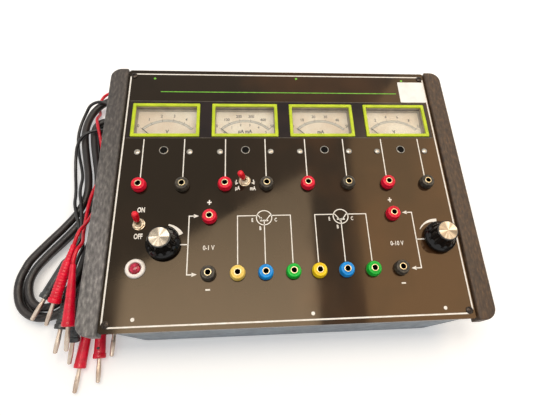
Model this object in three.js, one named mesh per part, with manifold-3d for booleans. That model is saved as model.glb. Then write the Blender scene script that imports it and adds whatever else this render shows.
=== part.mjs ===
// Bench trainer for plotting transistor curves: a low moulded case with raised side rails,
// a glossy panel with four meters, sockets, two knobs, two toggles and a mains lamp,
// and on its left a mains cord in a hank and four patch leads.
// Millimetres, +Z up, +X to the right, front edge towards -Y, table at z = 0.

import * as THREE from 'three';
import { mergeVertices } from 'three/addons/utils/BufferGeometryUtils.js';
import Module from 'manifold-3d';

const wasm = await Module();
wasm.setup();

// Case
const caseWidth = 326.4;
const caseLength = 248;
const caseHeight = 63;
const railWidth = 16.2;
const railDepth = 15;
const railCorner = 10;
const railEdge = 1.6;
const webSetback = 4;
const rimSetback = 1;
const tubDraft = 9;
const tubLength = 244;
const tubFootCorner = 15;
const tubRimCorner = 12;
const tubWall = 3;
const footHeight = 2;
const footRadius = 8;
const footInset = 24;
const bossRadius = 5;
const bossDepth = 14;

// Front panel, and where its print is centred along the case
const panelDrop = 3;
const panelThickness = 3;
const panelReveal = 1.75;
const panelCorner = 2.5;
const printOffset = 0.75;
const cornerScrewInset = 5;
const cornerScrewReach = 116.5;

// Meters
const meterShares = [-0.3711, -0.1237, 0.1237, 0.3711];
const bezelShare = 0.2092;
const bezelLength = 36.2;
const bezelCentre = 65.6;
const bezelBand = 3;
const bezelHeight = 1.4;
const bezelWall = 1.1;
const windowThickness = 1.5;
const windowMargin = 3;
const housingFront = 24;
const housingMargin = 0.6;
const housingWall = 1.5;
const housingDepth = 12;
const barrelRadius = 21;
const barrelDepth = 18;
const chamberDepth = 3.5;
const chamberFront = 31;
const needlePivot = 38.7;
const needleReach = 31.5;
const needleTail = 6;
const needleWidth = 1.1;
const needleThickness = 0.5;
const needleHub = 2.4;
const needleRest = 46;
const pivotPost = 1;
const adjusterPlace = 33.4;
const adjusterHole = 3;
const adjusterHead = 2.4;

// Sockets for 4 mm plugs
const socketFlange = 6.25;
const socketFlangeHeight = 2.3;
const socketBody = 5.3;
const socketHeight = 6.1;
const socketChamfer = 0.9;
const socketShank = 4;
const socketShankLength = 13;
const socketBore = 2.1;
const socketFloor = 1.5;
const meterSocketShare = 0.0616;
const meterSocketPlace = -1.7;
const supplyNear = -80.1;
const supplyFar = -31.9;
const supplyLeftShare = -0.2279;
const supplyRightShare = 0.3095;
const transistorShares = [-0.0724, 0.1524];
const transistorPitchShare = 0.0765;
const transistorPlace = -80.5;

// Knobs and potentiometers
const knobLeftShare = -0.352;
const knobRightInset = 18.2;
const knobPlace = -54.5;
const knobSkirt = 13.8;
const knobShoulder = 11.4;
const knobTop = 8.6;
const knobHeight = 18.3;
const knobSkirtHeight = 4.5;
const knobFlutes = 12;
const knobFluteDepth = 0.7;
const knobHollow = 8.2;
const knobHollowDepth = 3.6;
const shaftRadius = 3;
const shaftLength = 12;
const potRadius = 12;
const potDepth = 11;
const potFloor = 1.5;
const bushRadius = 4.6;
const nutRadius = 6.4;
const nutHeight = 2;

// Toggle switches
const mainsToggleShare = -0.4235;
const mainsToggleY = -37;
const rangeToggleShare = -0.1272;
const rangeToggleY = 2;
const toggleLean = 15;
const toggleBodyWidth = 8;
const toggleBodyLength = 13;
const toggleBodyDepth = 10;
const toggleBush = 3.3;
const toggleBushHeight = 5;
const toggleBore = 2.5;
const toggleNut = 5.4;
const toggleNutHeight = 2.2;
const leverPivotHeight = 2.2;
const leverBall = 2;
const leverNeck = 1.2;
const leverSleeve = 2.5;
const leverSleeveFoot = 1.9;
const leverSleeveStart = 4.4;
const leverReach = 11.6;

// Mains lamp
const lampShare = -0.4218;
const lampY = -74.3;
const lampBezel = 8.3;
const lampBezelHeight = 2.6;
const lampLens = 4.8;
const lampLensHeight = 3.4;
const lampSleeve = 6;
const lampSleeveDepth = 12;
const lampSeatDepth = 5;

// Mains cord with its gland and plug
const mainsDiameter = 7;
const glandPlace = -8;
const glandHeight = 14;
const glandFlange = 7;
const glandFlangeThickness = 1.5;
const glandShank = 5;
const glandShankLength = 6;
const glandFoot = 5.6;
const glandTip = 4.3;
const glandReach = 20;
const plugBody = 15;
const plugBodyLength = 26;
const plugNose = 12.5;
const plugEdge = 2;
const reliefFoot = 5.6;
const reliefTip = 4.2;
const reliefLength = 22;
const plugPinRadius = 2.3;
const plugEarthRadius = 3;
const plugPinLength = 15;
const plugPinSpread = 6.5;
const plugPinRaise = 5;
const plugPlace = [-72, 139.5];

// Hank of the mains cord
const hankRise = 7.6;
const hankPitch = 8.3;
const hankTurns = 2.5;
const hankStepsPerTurn = 24;
const hankSwell = 2.3;

// Patch leads
const leadDiameter = 3;
const sleeveRadius = 4.7;
const sleeveWaist = 4.1;
const sleeveLength = 32;
const collarRadius = 5.2;
const collarLength = 4;
const tailRadius = 2.1;
const tailLength = 13;
const pinRadius = 1.95;
const pinLength = 19;
const pinTip = 2.5;

// Fits
const clearance = 0.3;
const overrun = 1;
const roundSteps = 16;

// Heights and places that follow from the sizes above
const panelTop = caseHeight - panelDrop;
const panelUnder = panelTop - panelThickness;
const panelWidth = caseWidth - 2 * railWidth;
const tubRimWidth = panelWidth - 2 * rimSetback;
const tubFootWidth = tubRimWidth - 2 * tubDraft;
const cornerScrewSpread = panelWidth / 2 - cornerScrewInset;
const meterPlaces = meterShares.map((share) => share * panelWidth);
const bezelWidth = bezelShare * panelWidth;
const meterSocketSpread = meterSocketShare * panelWidth;
const supplyLeft = supplyLeftShare * panelWidth;
const supplyRight = supplyRightShare * panelWidth;
const transistorPlaces = transistorShares.map((share) => share * panelWidth);
const transistorPitch = transistorPitchShare * panelWidth;
const knobPlaces = [knobLeftShare * panelWidth, panelWidth / 2 - knobRightInset];
const mainsTogglePlace = [mainsToggleShare * panelWidth, mainsToggleY];
const rangeTogglePlace = [rangeToggleShare * panelWidth, rangeToggleY];
const lampPlace = [lampShare * panelWidth, lampY];
const panelFront = -caseLength / 2 + panelReveal;
const panelBack = caseLength / 2;
const windowUnder = panelUnder - windowThickness;
const dialTop = windowUnder - chamberDepth;
const mainsRadius = mainsDiameter / 2;
const leadRadius = leadDiameter / 2;

const colours = {
  case: 0x35322f, panel: 0x2a221b, lime: 0xc9de28, clear: 0xe8f0f2, dial: 0x6f6c66,
  ink: 0x111111, red: 0xd0142c, black: 0x2b2927, yellow: 0xe8c63c, blue: 0x1f86cc,
  green: 0x16a844, nickel: 0xb9b4ac, white: 0xe9e6df, ruby: 0x9c1030, cord: 0x2a211d,
};

function finish(colour, roughness, metalness) {
  return new THREE.MeshStandardMaterial({ color: colour, roughness, metalness });
}

// A closed geometry as a solid that can be joined and cut.
function solid(geometry) {
  const bare = geometry.index ? geometry.toNonIndexed() : geometry.clone();
  bare.deleteAttribute('normal');
  bare.deleteAttribute('uv');
  const merged = mergeVertices(bare, clearance / 1000);
  const vertProperties = new Float32Array(merged.attributes.position.array);
  const triVerts = new Uint32Array(merged.index.array);
  return new wasm.Manifold(new wasm.Mesh({ numProp: 3, vertProperties, triVerts }));
}

// The cut solid as a geometry again.
function shaped(body) {
  const mesh = body.getMesh();
  const geometry = new THREE.BufferGeometry();
  const points = new Float32Array(mesh.numVert * 3);
  for (let i = 0; i < mesh.numVert; i += 1) {
    for (let k = 0; k < 3; k += 1) {
      points[3 * i + k] = mesh.vertProperties[i * mesh.numProp + k];
    }
  }
  geometry.setAttribute('position', new THREE.BufferAttribute(points, 3));
  geometry.setIndex(new THREE.BufferAttribute(new Uint32Array(mesh.triVerts), 1));
  return geometry;
}

// Box between two corners.
function block(x0, x1, y0, y1, z0, z1) {
  const box = new THREE.BoxGeometry(x1 - x0, y1 - y0, z1 - z0);
  box.translate((x0 + x1) / 2, (y0 + y1) / 2, (z0 + z1) / 2);
  return box;
}

// Upright cylinder standing on z0.
function post(radius, x, y, z0, z1, steps = roundSteps) {
  const cylinder = new THREE.CylinderGeometry(radius, radius, z1 - z0, steps);
  cylinder.rotateX(Math.PI / 2);
  cylinder.translate(x, y, (z0 + z1) / 2);
  return cylinder;
}

// Turned piece about the Z axis from [radius, height] pairs, foot first.
function turned(profile, steps = roundSteps) {
  const points = profile.map(([radius, height]) => new THREE.Vector2(radius, height));
  const lathe = new THREE.LatheGeometry(points, steps);
  lathe.rotateX(Math.PI / 2);
  return lathe;
}

// Points of a rectangle with round corners, counter-clockwise.
function roundedOutline(width, length, corner, steps) {
  const points = [];
  const centres = [[1, 1], [-1, 1], [-1, -1], [1, -1]];
  centres.forEach(([sx, sy], quarter) => {
    for (let i = 0; i <= steps; i += 1) {
      const angle = (quarter + i / steps) * Math.PI / 2;
      const x = sx * (width / 2 - corner) + corner * Math.cos(angle);
      const y = sy * (length / 2 - corner) + corner * Math.sin(angle);
      points.push(new THREE.Vector2(x, y));
    }
  });
  return points;
}

// Closed skin over outlines with the same number of points, stacked upwards.
function lofted(rings) {
  const count = rings[0].points.length;
  const positions = [];
  rings.forEach(({ points, z }) => points.forEach((p) => positions.push(p.x, p.y, z)));
  const index = [];
  for (let level = 0; level + 1 < rings.length; level += 1) {
    for (let i = 0; i < count; i += 1) {
      const a = level * count + i;
      const b = level * count + (i + 1) % count;
      index.push(a, b, b + count, a, b + count, a + count);
    }
  }
  const last = (rings.length - 1) * count;
  THREE.ShapeUtils.triangulateShape(rings[0].points, []).forEach(([a, b, c]) => index.push(c, b, a));
  THREE.ShapeUtils.triangulateShape(rings[rings.length - 1].points, [])
    .forEach(([a, b, c]) => index.push(last + a, last + b, last + c));
  const geometry = new THREE.BufferGeometry();
  geometry.setAttribute('position', new THREE.Float32BufferAttribute(positions, 3));
  geometry.setIndex(index);
  return geometry;
}

// Flat plate with round corners between two heights.
function plate(width, length, corner, z0, z1, steps = 4) {
  const points = roundedOutline(width, length, corner, steps);
  return lofted([{ points, z: z0 }, { points, z: z1 }]);
}

function sunk(body, cutters) {
  return cutters.reduce((rest, cutter) => rest.subtract(solid(cutter)), body);
}

function joined(body, pieces) {
  return pieces.reduce((rest, piece) => rest.add(solid(piece)), body);
}

// Case: a drafted tub, a slab that forms the rails and the ledge under the panel's sides.
function makeCase() {
  const slabFoot = panelTop + panelDrop - railDepth;
  const steps = 5;
  const outer = roundedOutline(caseWidth, caseLength, railCorner, steps);
  const inner = roundedOutline(caseWidth - 2 * railEdge, caseLength - 2 * railEdge,
    railCorner - railEdge, steps);
  const slab = solid(lofted([
    { points: inner, z: slabFoot },
    { points: outer, z: slabFoot + railEdge },
    { points: outer, z: caseHeight - railEdge },
    { points: inner, z: caseHeight },
  ]));
  const halfPanel = panelWidth / 2 + clearance;
  const reach = caseLength / 2 + overrun;
  const ledge = caseLength / 2 - webSetback;
  let body = sunk(slab, [
    block(-halfPanel, halfPanel, -reach, reach, panelUnder, caseHeight + overrun),
    block(-halfPanel, halfPanel, -reach, -ledge, slabFoot - overrun, panelUnder + overrun),
    block(-halfPanel, halfPanel, ledge, reach, slabFoot - overrun, panelUnder + overrun),
  ]);
  const rim = roundedOutline(tubRimWidth, tubLength, tubRimCorner, steps);
  const foot = roundedOutline(tubFootWidth, tubLength, tubFootCorner, steps);
  const sole = roundedOutline(tubFootWidth - 2 * railEdge, tubLength - 2 * railEdge,
    tubFootCorner - railEdge, steps);
  body = joined(body, [lofted([
    { points: sole, z: footHeight },
    { points: foot, z: footHeight + railEdge },
    { points: rim, z: panelUnder },
  ])]);
  const hollowFoot = roundedOutline(tubFootWidth - 2 * tubWall, tubLength - 2 * tubWall,
    tubFootCorner - tubWall, steps);
  const hollowRim = roundedOutline(tubRimWidth - 2 * tubWall, tubLength - 2 * tubWall,
    tubRimCorner - tubWall, steps);
  body = sunk(body, [lofted([
    { points: hollowFoot, z: footHeight + tubWall },
    { points: hollowRim, z: panelUnder },
    { points: hollowRim, z: panelUnder + overrun },
  ])]);
  const bosses = [];
  const feet = [];
  [-1, 1].forEach((sx) => [-1, 1].forEach((sy) => {
    bosses.push(post(bossRadius, sx * cornerScrewSpread - sx * tubWall,
      sy * cornerScrewReach + printOffset, panelUnder - bossDepth, panelUnder));
    feet.push(post(footRadius, sx * (tubFootWidth / 2 - footInset),
      sy * (tubLength / 2 - footInset), 0, footHeight + tubWall / 2));
  }));
  body = joined(body, [...bosses, ...feet]);
  const hole = new THREE.CylinderGeometry(glandShank + clearance, glandShank + clearance,
    2 * tubWall + 2 * overrun, roundSteps);
  hole.translate(glandPlace, tubLength / 2 - tubWall, glandHeight);
  return shaped(sunk(body, [hole]));
}

function allSockets() {
  const row = [];
  meterPlaces.forEach((x) => {
    row.push([x - meterSocketSpread, meterSocketPlace, 'red']);
    row.push([x + meterSocketSpread, meterSocketPlace, 'black']);
  });
  row.push([supplyLeft, supplyFar, 'red'], [supplyLeft, supplyNear, 'black']);
  row.push([supplyRight, supplyFar, 'red'], [supplyRight, supplyNear, 'black']);
  transistorPlaces.forEach((x) => {
    row.push([x - transistorPitch, transistorPlace, 'yellow']);
    row.push([x, transistorPlace, 'blue']);
    row.push([x + transistorPitch, transistorPlace, 'green']);
  });
  return row.map(([x, y, colour]) => ({ x, y: y + printOffset, colour }));
}

const bezelInnerWidth = bezelWidth - 2 * bezelBand;
const bezelInnerLength = bezelLength - 2 * bezelBand;
const bezelMiddle = bezelCentre + printOffset;

// Panel: one plate with every cut-out that a fitting passes through.
function makePanel() {
  const length = panelBack - panelFront;
  const sheet = plate(panelWidth, length, panelCorner, panelUnder, panelTop);
  sheet.translate(0, (panelBack + panelFront) / 2, 0);
  const low = panelUnder - overrun;
  const high = panelTop + overrun;
  const cuts = [];
  meterPlaces.forEach((x) => {
    const halfWidth = bezelInnerWidth / 2 + bezelWall + clearance;
    const halfLength = bezelInnerLength / 2 + bezelWall + clearance;
    cuts.push(block(x - halfWidth, x + halfWidth, bezelMiddle - halfLength,
      bezelMiddle + halfLength, low, high));
    cuts.push(post(adjusterHole, x, adjusterPlace + printOffset, low, high, 12));
  });
  allSockets().forEach(({ x, y }) => {
    cuts.push(post(socketShank + clearance, x, y, low, high, 12));
  });
  knobPlaces.forEach((x) => {
    cuts.push(post(bushRadius + clearance, x, knobPlace + printOffset, low, high, 12));
  });
  [mainsTogglePlace, rangeTogglePlace].forEach(([x, y]) => {
    cuts.push(post(toggleBush + clearance, x, y + printOffset, low, high, 12));
  });
  cuts.push(post(lampSleeve + clearance, lampPlace[0], lampPlace[1] + printOffset, low, high));
  return shaped(sunk(solid(sheet), cuts));
}

// Bezel: a frame that lies on the panel, with a sleeve down to the window.
function makeBezel(x) {
  const halfWidth = bezelWidth / 2;
  const halfLength = bezelLength / 2;
  const innerWidth = bezelInnerWidth / 2;
  const innerLength = bezelInnerLength / 2;
  const frame = solid(block(-halfWidth, halfWidth, -halfLength, halfLength,
    panelTop, panelTop + bezelHeight));
  const sleeve = block(-innerWidth - bezelWall, innerWidth + bezelWall,
    -innerLength - bezelWall, innerLength + bezelWall, panelUnder, panelTop);
  const opening = block(-innerWidth, innerWidth, -innerLength, innerLength,
    panelUnder - overrun, panelTop + bezelHeight + overrun);
  const geometry = shaped(sunk(joined(frame, [sleeve]), [opening]));
  geometry.translate(x, bezelMiddle, 0);
  return geometry;
}

// Window: one clear strip under the panel that closes the four openings.
function makeWindow() {
  const halfWidth = meterPlaces[3] + bezelInnerWidth / 2 + windowMargin;
  const halfLength = bezelInnerLength / 2 + windowMargin;
  return block(-halfWidth, halfWidth, bezelMiddle - halfLength, bezelMiddle + halfLength,
    windowUnder, panelUnder);
}

// Meter body: open chamber over the dial, closed lip with the zero adjuster, barrel behind.
function makeHousing(x) {
  const innerWidth = bezelInnerWidth / 2;
  const halfWidth = innerWidth + housingWall;
  const windowFront = bezelMiddle - bezelInnerLength / 2 - windowMargin;
  const windowBack = bezelMiddle + bezelInnerLength / 2;
  const front = housingFront + printOffset;
  const back = windowBack + housingWall;
  const pivot = needlePivot + printOffset;
  const foot = dialTop - housingDepth;
  let body = solid(block(-halfWidth, halfWidth, front, back, foot, windowUnder));
  body = joined(body, [
    block(-halfWidth, halfWidth, front, windowFront - clearance, windowUnder - overrun, panelUnder),
    post(barrelRadius, 0, (front + back) / 2, foot - barrelDepth, foot + overrun, 20),
  ]);
  body = sunk(body, [
    block(-innerWidth, innerWidth, chamberFront + printOffset, windowBack, dialTop, windowUnder),
    block(-innerWidth, innerWidth, windowFront + windowMargin, windowBack,
      windowUnder - overrun, windowUnder + overrun),
  ]);
  const gap = 2 * clearance;
  body = joined(body, [
    post(pivotPost, 0, pivot, dialTop - overrun, dialTop + chamberDepth / 2 - gap, 8),
    post(adjusterHead, 0, adjusterPlace + printOffset, panelUnder - overrun,
      panelUnder + panelThickness / 2, 12),
  ]);
  const geometry = shaped(body);
  geometry.translate(x, 0, 0);
  return geometry;
}

// Needle: hub, tapered pointer and short tail, drawn at the left end of the scale.
function makeNeedle() {
  const outline = new THREE.Shape([
    new THREE.Vector2(-needleWidth / 2, -needleTail),
    new THREE.Vector2(needleWidth / 2, -needleTail),
    new THREE.Vector2(needleWidth / 2, needleReach / 2),
    new THREE.Vector2(needleWidth / 4, needleReach),
    new THREE.Vector2(-needleWidth / 4, needleReach),
    new THREE.Vector2(-needleWidth / 2, needleReach / 2),
  ]);
  const pointer = new THREE.ExtrudeGeometry(outline, { depth: needleThickness, bevelEnabled: false });
  const hub = post(needleHub, 0, 0, -needleThickness / 2, 3 * needleThickness / 2, 12);
  return shaped(joined(solid(pointer), [hub]));
}

function placeNeedle(mesh, x) {
  mesh.position.set(x, needlePivot + printOffset, dialTop + chamberDepth / 2);
  mesh.rotation.z = THREE.MathUtils.degToRad(needleRest);
}

// Socket: flanged head in two tiers with a blind bore, shank through the panel.
function makeSocket() {
  return turned([
    [0, -socketShankLength],
    [socketShank, -socketShankLength],
    [socketShank, 0],
    [socketFlange, 0],
    [socketFlange, socketFlangeHeight],
    [socketBody, socketFlangeHeight + socketChamfer],
    [socketBody, socketHeight - socketChamfer],
    [socketBody - socketChamfer, socketHeight],
    [socketBore, socketHeight],
    [socketBore, socketFloor - socketShankLength],
    [0, socketFloor - socketShankLength],
  ]);
}

// Knob: fluted taper on a skirt, hollow under the skirt, with the shaft that it turns.
function makeKnob() {
  const foot = clearance;
  const steps = 3 * knobFlutes;
  const flute = (i) => knobFluteDepth * (i % 3 === 0 ? 1 : 0);
  const ring = (radius, z, depthShare) => {
    const points = [];
    for (let i = 0; i < steps; i += 1) {
      const angle = 2 * Math.PI * i / steps;
      const r = radius - depthShare * flute(i);
      points.push(new THREE.Vector2(r * Math.cos(angle), r * Math.sin(angle)));
    }
    return { points, z };
  };
  const body = solid(lofted([
    ring(knobSkirt, foot, 0),
    ring(knobSkirt, knobSkirtHeight - knobFluteDepth, 0),
    ring(knobShoulder, knobSkirtHeight, 1),
    ring(knobTop, knobHeight - knobFluteDepth, 1),
    ring(knobTop - knobFluteDepth, knobHeight, 1),
  ]));
  const hollow = post(knobHollow, 0, 0, foot - overrun, foot + knobHollowDepth);
  const shaft = post(shaftRadius, 0, 0, -shaftLength, knobHeight / 2);
  return shaped(joined(sunk(body, [hollow]), [shaft]));
}

// Potentiometer: can under the panel, closed behind the shaft, with its bush and nut on top.
function makePot() {
  const bore = shaftRadius + clearance;
  const under = -panelThickness;
  return turned([
    [0, under - potDepth],
    [potRadius, under - potDepth],
    [potRadius, under],
    [bushRadius, under],
    [bushRadius, 0],
    [nutRadius, 0],
    [nutRadius, nutHeight],
    [bushRadius, nutHeight],
    [bushRadius, nutHeight + clearance],
    [bore, nutHeight + clearance],
    [bore, under - potDepth + potFloor],
    [0, under - potDepth + potFloor],
  ]);
}

// Toggle body: case under the panel, bush and nut, with a flared seat for the lever.
function makeToggleBody(turn) {
  const under = -panelThickness;
  const flare = Math.tan(THREE.MathUtils.degToRad(toggleLean));
  const seat = leverPivotHeight - leverBall - clearance;
  const mouth = Math.min(toggleBush - clearance, leverNeck + clearance
    + flare * (toggleBushHeight - leverPivotHeight));
  const can = block(-toggleBodyWidth / 2, toggleBodyWidth / 2, -toggleBodyLength / 2,
    toggleBodyLength / 2, under - toggleBodyDepth, under);
  can.rotateZ(turn);
  const bush = post(toggleBush, 0, 0, under - clearance, toggleBushHeight);
  const nut = turned([
    [0, 0],
    [toggleNut, 0],
    [toggleNut, toggleNutHeight - clearance],
    [toggleNut - clearance, toggleNutHeight],
    [0, toggleNutHeight],
  ], 6);
  const bore = turned([
    [0, seat],
    [toggleBore, seat],
    [toggleBore, leverPivotHeight],
    [Math.max(mouth, toggleBore), toggleBushHeight + overrun],
    [0, toggleBushHeight + overrun],
  ]);
  return shaped(sunk(joined(solid(can), [bush, nut]), [bore]));
}

// Lever: ball in the bush, thin neck and the moulded sleeve on its end.
function makeLever() {
  return turned([
    [0, -leverBall],
    [0.7 * leverBall, -0.7 * leverBall],
    [leverBall, 0],
    [0.7 * leverBall, 0.7 * leverBall],
    [leverNeck, leverBall],
    [leverNeck, leverSleeveStart],
    [leverSleeveFoot, leverSleeveStart],
    [leverSleeve, leverReach - leverSleeve],
    [0.75 * leverSleeve, leverReach - leverSleeve / 3],
    [0, leverReach],
  ], 12);
}

// Lamp: white bezel with a seat, and the domed lens that sits in it.
function makeLampHolder() {
  return turned([
    [0, -lampSleeveDepth],
    [lampSleeve, -lampSleeveDepth],
    [lampSleeve, 0],
    [lampBezel, 0],
    [lampBezel, lampBezelHeight / 2],
    [lampBezel - lampBezelHeight / 2, lampBezelHeight],
    [lampLens + clearance, lampBezelHeight],
    [lampLens + clearance, -lampSeatDepth],
    [0, -lampSeatDepth],
  ], 20);
}

function makeLampLens() {
  const lift = clearance - lampSeatDepth;
  return turned([
    [0, lift],
    [lampLens, lift],
    [lampLens, lampBezelHeight / 2],
    [0.8 * lampLens, 0.8 * lampLensHeight],
    [0.45 * lampLens, lampLensHeight],
    [0, 1.05 * lampLensHeight],
  ]);
}

// Gland: shank through the back wall, flange on it and a tapered sleeve round the cord.
function makeGland() {
  return turned([
    [0, -glandShankLength],
    [glandShank, -glandShankLength],
    [glandShank, 0],
    [glandFlange, 0],
    [glandFlange, glandFlangeThickness],
    [glandFoot, glandFlangeThickness],
    [glandTip, glandReach],
    [0, glandReach],
  ]);
}

// Mains plug on its side, pins towards +X, with its tapered sleeve at -X.
function makeMainsPlug() {
  const body = solid(turned([
    [0, -reliefLength],
    [reliefTip, -reliefLength],
    [reliefFoot, 0],
    [plugBody - plugEdge, 0],
    [plugBody, plugEdge],
    [plugBody, plugBodyLength - plugEdge],
    [plugNose, plugBodyLength],
    [0, plugBodyLength],
  ], 20));
  const tip = plugBodyLength + plugPinLength;
  const root = plugBodyLength - overrun;
  const geometry = shaped(joined(body, [
    post(plugPinRadius, -plugPinRaise, -plugPinSpread, root, tip, 10),
    post(plugPinRadius, -plugPinRaise, plugPinSpread, root, tip, 10),
    post(plugEarthRadius, plugPinRaise, 0, root, tip, 10),
  ]));
  geometry.rotateY(Math.PI / 2);
  geometry.rotateX(Math.PI);
  geometry.translate(plugPlace[0], plugPlace[1], plugBody);
  return geometry;
}

// Round tube along a curve, with flat ends.
function tube(curve, radius, sides, steps) {
  const section = [];
  for (let i = 0; i < sides; i += 1) {
    const angle = 2 * Math.PI * i / sides;
    section.push(new THREE.Vector2(radius * Math.cos(angle), radius * Math.sin(angle)));
  }
  const shape = new THREE.Shape(section);
  return new THREE.ExtrudeGeometry(shape, { steps, bevelEnabled: false, extrudePath: curve });
}

function smooth(points, closed = false) {
  const vectors = points.map(([x, y, z]) => new THREE.Vector3(x, y, z));
  const curve = new THREE.CatmullRomCurve3(vectors, closed, 'centripetal');
  curve.arcLengthDivisions = 600;
  return curve;
}

// The cords were laid beside a case of this half width. Beside a wider or narrower one, they
// keep their distance from its side, and what lies behind it stretches or closes up.
const routeReach = 163.2;
const routeSide = 130;
const routeBack = 104;

function beside(points) {
  const shift = caseWidth / 2 - routeReach;
  return points.map(([x, ...rest]) => {
    const share = Math.min(Math.max((-x - routeBack) / (routeSide - routeBack), 0), 1);
    return [x - share * shift, ...rest];
  });
}

// Outline of the hank's outer loop at the table, right flank first, seen from above.
const hankOutline = [
  [-163, 60], [-162, 34], [-162, 8], [-166, -16], [-172, -40], [-176, -62], [-181, -80],
  [-191, -94], [-205, -101.5], [-219, -100], [-229, -92], [-234, -80], [-234.5, -67],
  [-230, -54], [-221, -41], [-210, -28], [-199, -14], [-190, 1], [-186.5, 17], [-187.5, 33],
  [-191, 50], [-195, 70], [-196.5, 86], [-194.2, 94.5], [-188, 100.7], [-179.5, 103],
  [-171, 100.7], [-164.8, 94.5], [-162.5, 86],
];

// Centreline of the hank: it spirals in through one loop, climbs a layer in the next half
// turn and spirals out again on top, each loop drawn in alike.
class HankCurve extends THREE.Curve {
  constructor() {
    super();
    this.outline = smooth(beside(hankOutline).map(([x, y]) => [x, y, 0]), true);
  }

  getPoint(share, target = new THREE.Vector3()) {
    const turn = share * hankTurns;
    const along = turn % 1;
    const place = this.outline.getPointAt(along);
    const heading = this.outline.getTangentAt(along);
    const climb = Math.min(Math.max((turn - 1) / 0.5, 0), 1);
    const inward = turn < 1.5
      ? hankPitch * Math.min(turn, 1) + hankSwell * Math.sin(Math.PI * climb)
      : hankPitch * (hankTurns - turn);
    const height = mainsRadius + hankRise * (1 - Math.cos(Math.PI * climb)) / 2;
    return target.set(place.x + heading.y * inward, place.y - heading.x * inward, height);
  }
}

// Least gap between the hank's turns, measured on points of its centreline.
function hankGap(curve) {
  const points = curve.getSpacedPoints(400);
  const reach = Math.round(400 / hankTurns / 6);
  let least = Infinity;
  for (let i = 0; i < points.length; i += 1) {
    for (let j = i + reach; j < points.length; j += 1) {
      least = Math.min(least, points[i].distanceTo(points[j]));
    }
  }
  return least - mainsDiameter;
}

// Patch plug about its own axis, tail first: tapered tail, ribbed sleeve, collar and pin.
function makePatchPlug() {
  const sleeveEnd = tailLength + sleeveLength;
  const collarEnd = sleeveEnd + collarLength;
  const tip = collarEnd + pinLength;
  return turned([
    [0, 0],
    [tailRadius, 0],
    [0.75 * sleeveWaist, tailLength],
    [sleeveWaist, tailLength],
    [sleeveRadius, sleeveEnd],
    [collarRadius, sleeveEnd],
    [collarRadius, collarEnd],
    [pinRadius, collarEnd],
    [pinRadius, tip - pinTip],
    [pinRadius / 2, tip],
    [0, tip],
  ], 12);
}

// Where each patch plug lies: its tail end and a point that it aims at.
const patchPlugs = {
  plug_red_1a: { colour: 'red', tail: [-178.4, -63.9, 43.5], tip: [-179.5, -130.3, 28.9] },
  plug_red_1b: { colour: 'red', tail: [-171.5, -93.3, 7.7], tip: [-177.7, -160.9, 4.7] },
  plug_red_2a: { colour: 'red', tail: [-181.1, -46.4, 41.7], tip: [-200.3, -109.3, 24.1] },
  plug_red_2b: { colour: 'red', tail: [-163.1, -86.1, 7.8], tip: [-160.2, -154, 4.6] },
  plug_black_1a: { colour: 'black', tail: [-186.3, -42, 23.9], tip: [-214.4, -103.7, 19.6] },
  plug_black_1b: { colour: 'black', tail: [-173.4, -76, 32.3], tip: [-183.7, -138.8, 8.3] },
  plug_black_2a: { colour: 'black', tail: [-184.7, -63.4, 24.2], tip: [-192, -130.8, 18.9] },
  plug_black_2b: { colour: 'black', tail: [-149.8, -66.1, 7.7], tip: [-151.5, -134, 4.6] },
};

// Routes of the cords, chosen by hand to lie on the table and over one another.
const mainsLeadInRoute = [
  [-8, 142.3, 14], [-8, 149.3, 14], [-9.5, 156, 12.5], [-15, 162.5, 9], [-25, 166, 5.5],
  [-40, 166.8, 3.8], [-65, 166.6, 3.6], [-90, 166.6, 3.6], [-120, 166.6, 3.6], [-134, 166.4, 3.6],
  [-148, 163, 3.6], [-158.5, 154.5, 3.6], [-162.6, 142, 3.6], [-162, 125, 3.6], [-162, 105, 3.6],
  [-162.4, 85, 3.6], [-163, 67, 3.5], [-163, 60.3, 3.5],
];

const mainsTailRoute = [
  [-231.8, -57.8, 11.1], [-229.3, -51.2, 11.1], [-216.7, -34.3, 11.1], [-204.7, -19.5, 11.1],
  [-194.2, -3.7, 11.1], [-188.9, 13.9, 11.1], [-189.9, 32.4, 11.1], [-194, 50.9, 11.1],
  [-198.1, 69.7, 11.1], [-200, 84, 11], [-198.5, 99, 10.8], [-193.5, 112, 10.6],
  [-184.5, 121.5, 10.8], [-173, 127, 11.4], [-159, 131.5, 11], [-147, 134.5, 9],
  [-133, 137.5, 10], [-118, 139.3, 13], [-101.3, 139.5, 15], [-94.3, 139.5, 15],
];

const redLeadOneRoute = [
  [-178.4, -63.6, 43.5], [-178.3, -59.9, 44.3], [-176.8, -51.8, 44.2], [-176.1, -43.2, 37.5],
  [-178.7, -33.5, 31.7], [-180.6, -23.2, 26.6], [-182, -12.4, 22.7], [-182.5, -1.1, 20.1],
  [-181.6, 10.3, 18.6], [-178.8, 21.6, 17.8], [-173.7, 31.7, 16], [-166.1, 40.1, 17.9],
  [-157.3, 41.2, 12], [-152.5, 32.3, 6.8], [-151, 21.1, 4.3], [-150.8, 9.6, 2.9],
  [-151.3, -1.9, 2.2], [-152.1, -13.5, 1.9], [-153.5, -25, 1.9], [-155.6, -36.4, 2.2],
  [-158.4, -47.7, 2.9], [-161.9, -58.7, 4], [-165.8, -69.5, 5.6], [-169.6, -80.2, 7.6],
  [-171.2, -89.3, 7.9], [-171.5, -93, 7.7],
];

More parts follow.
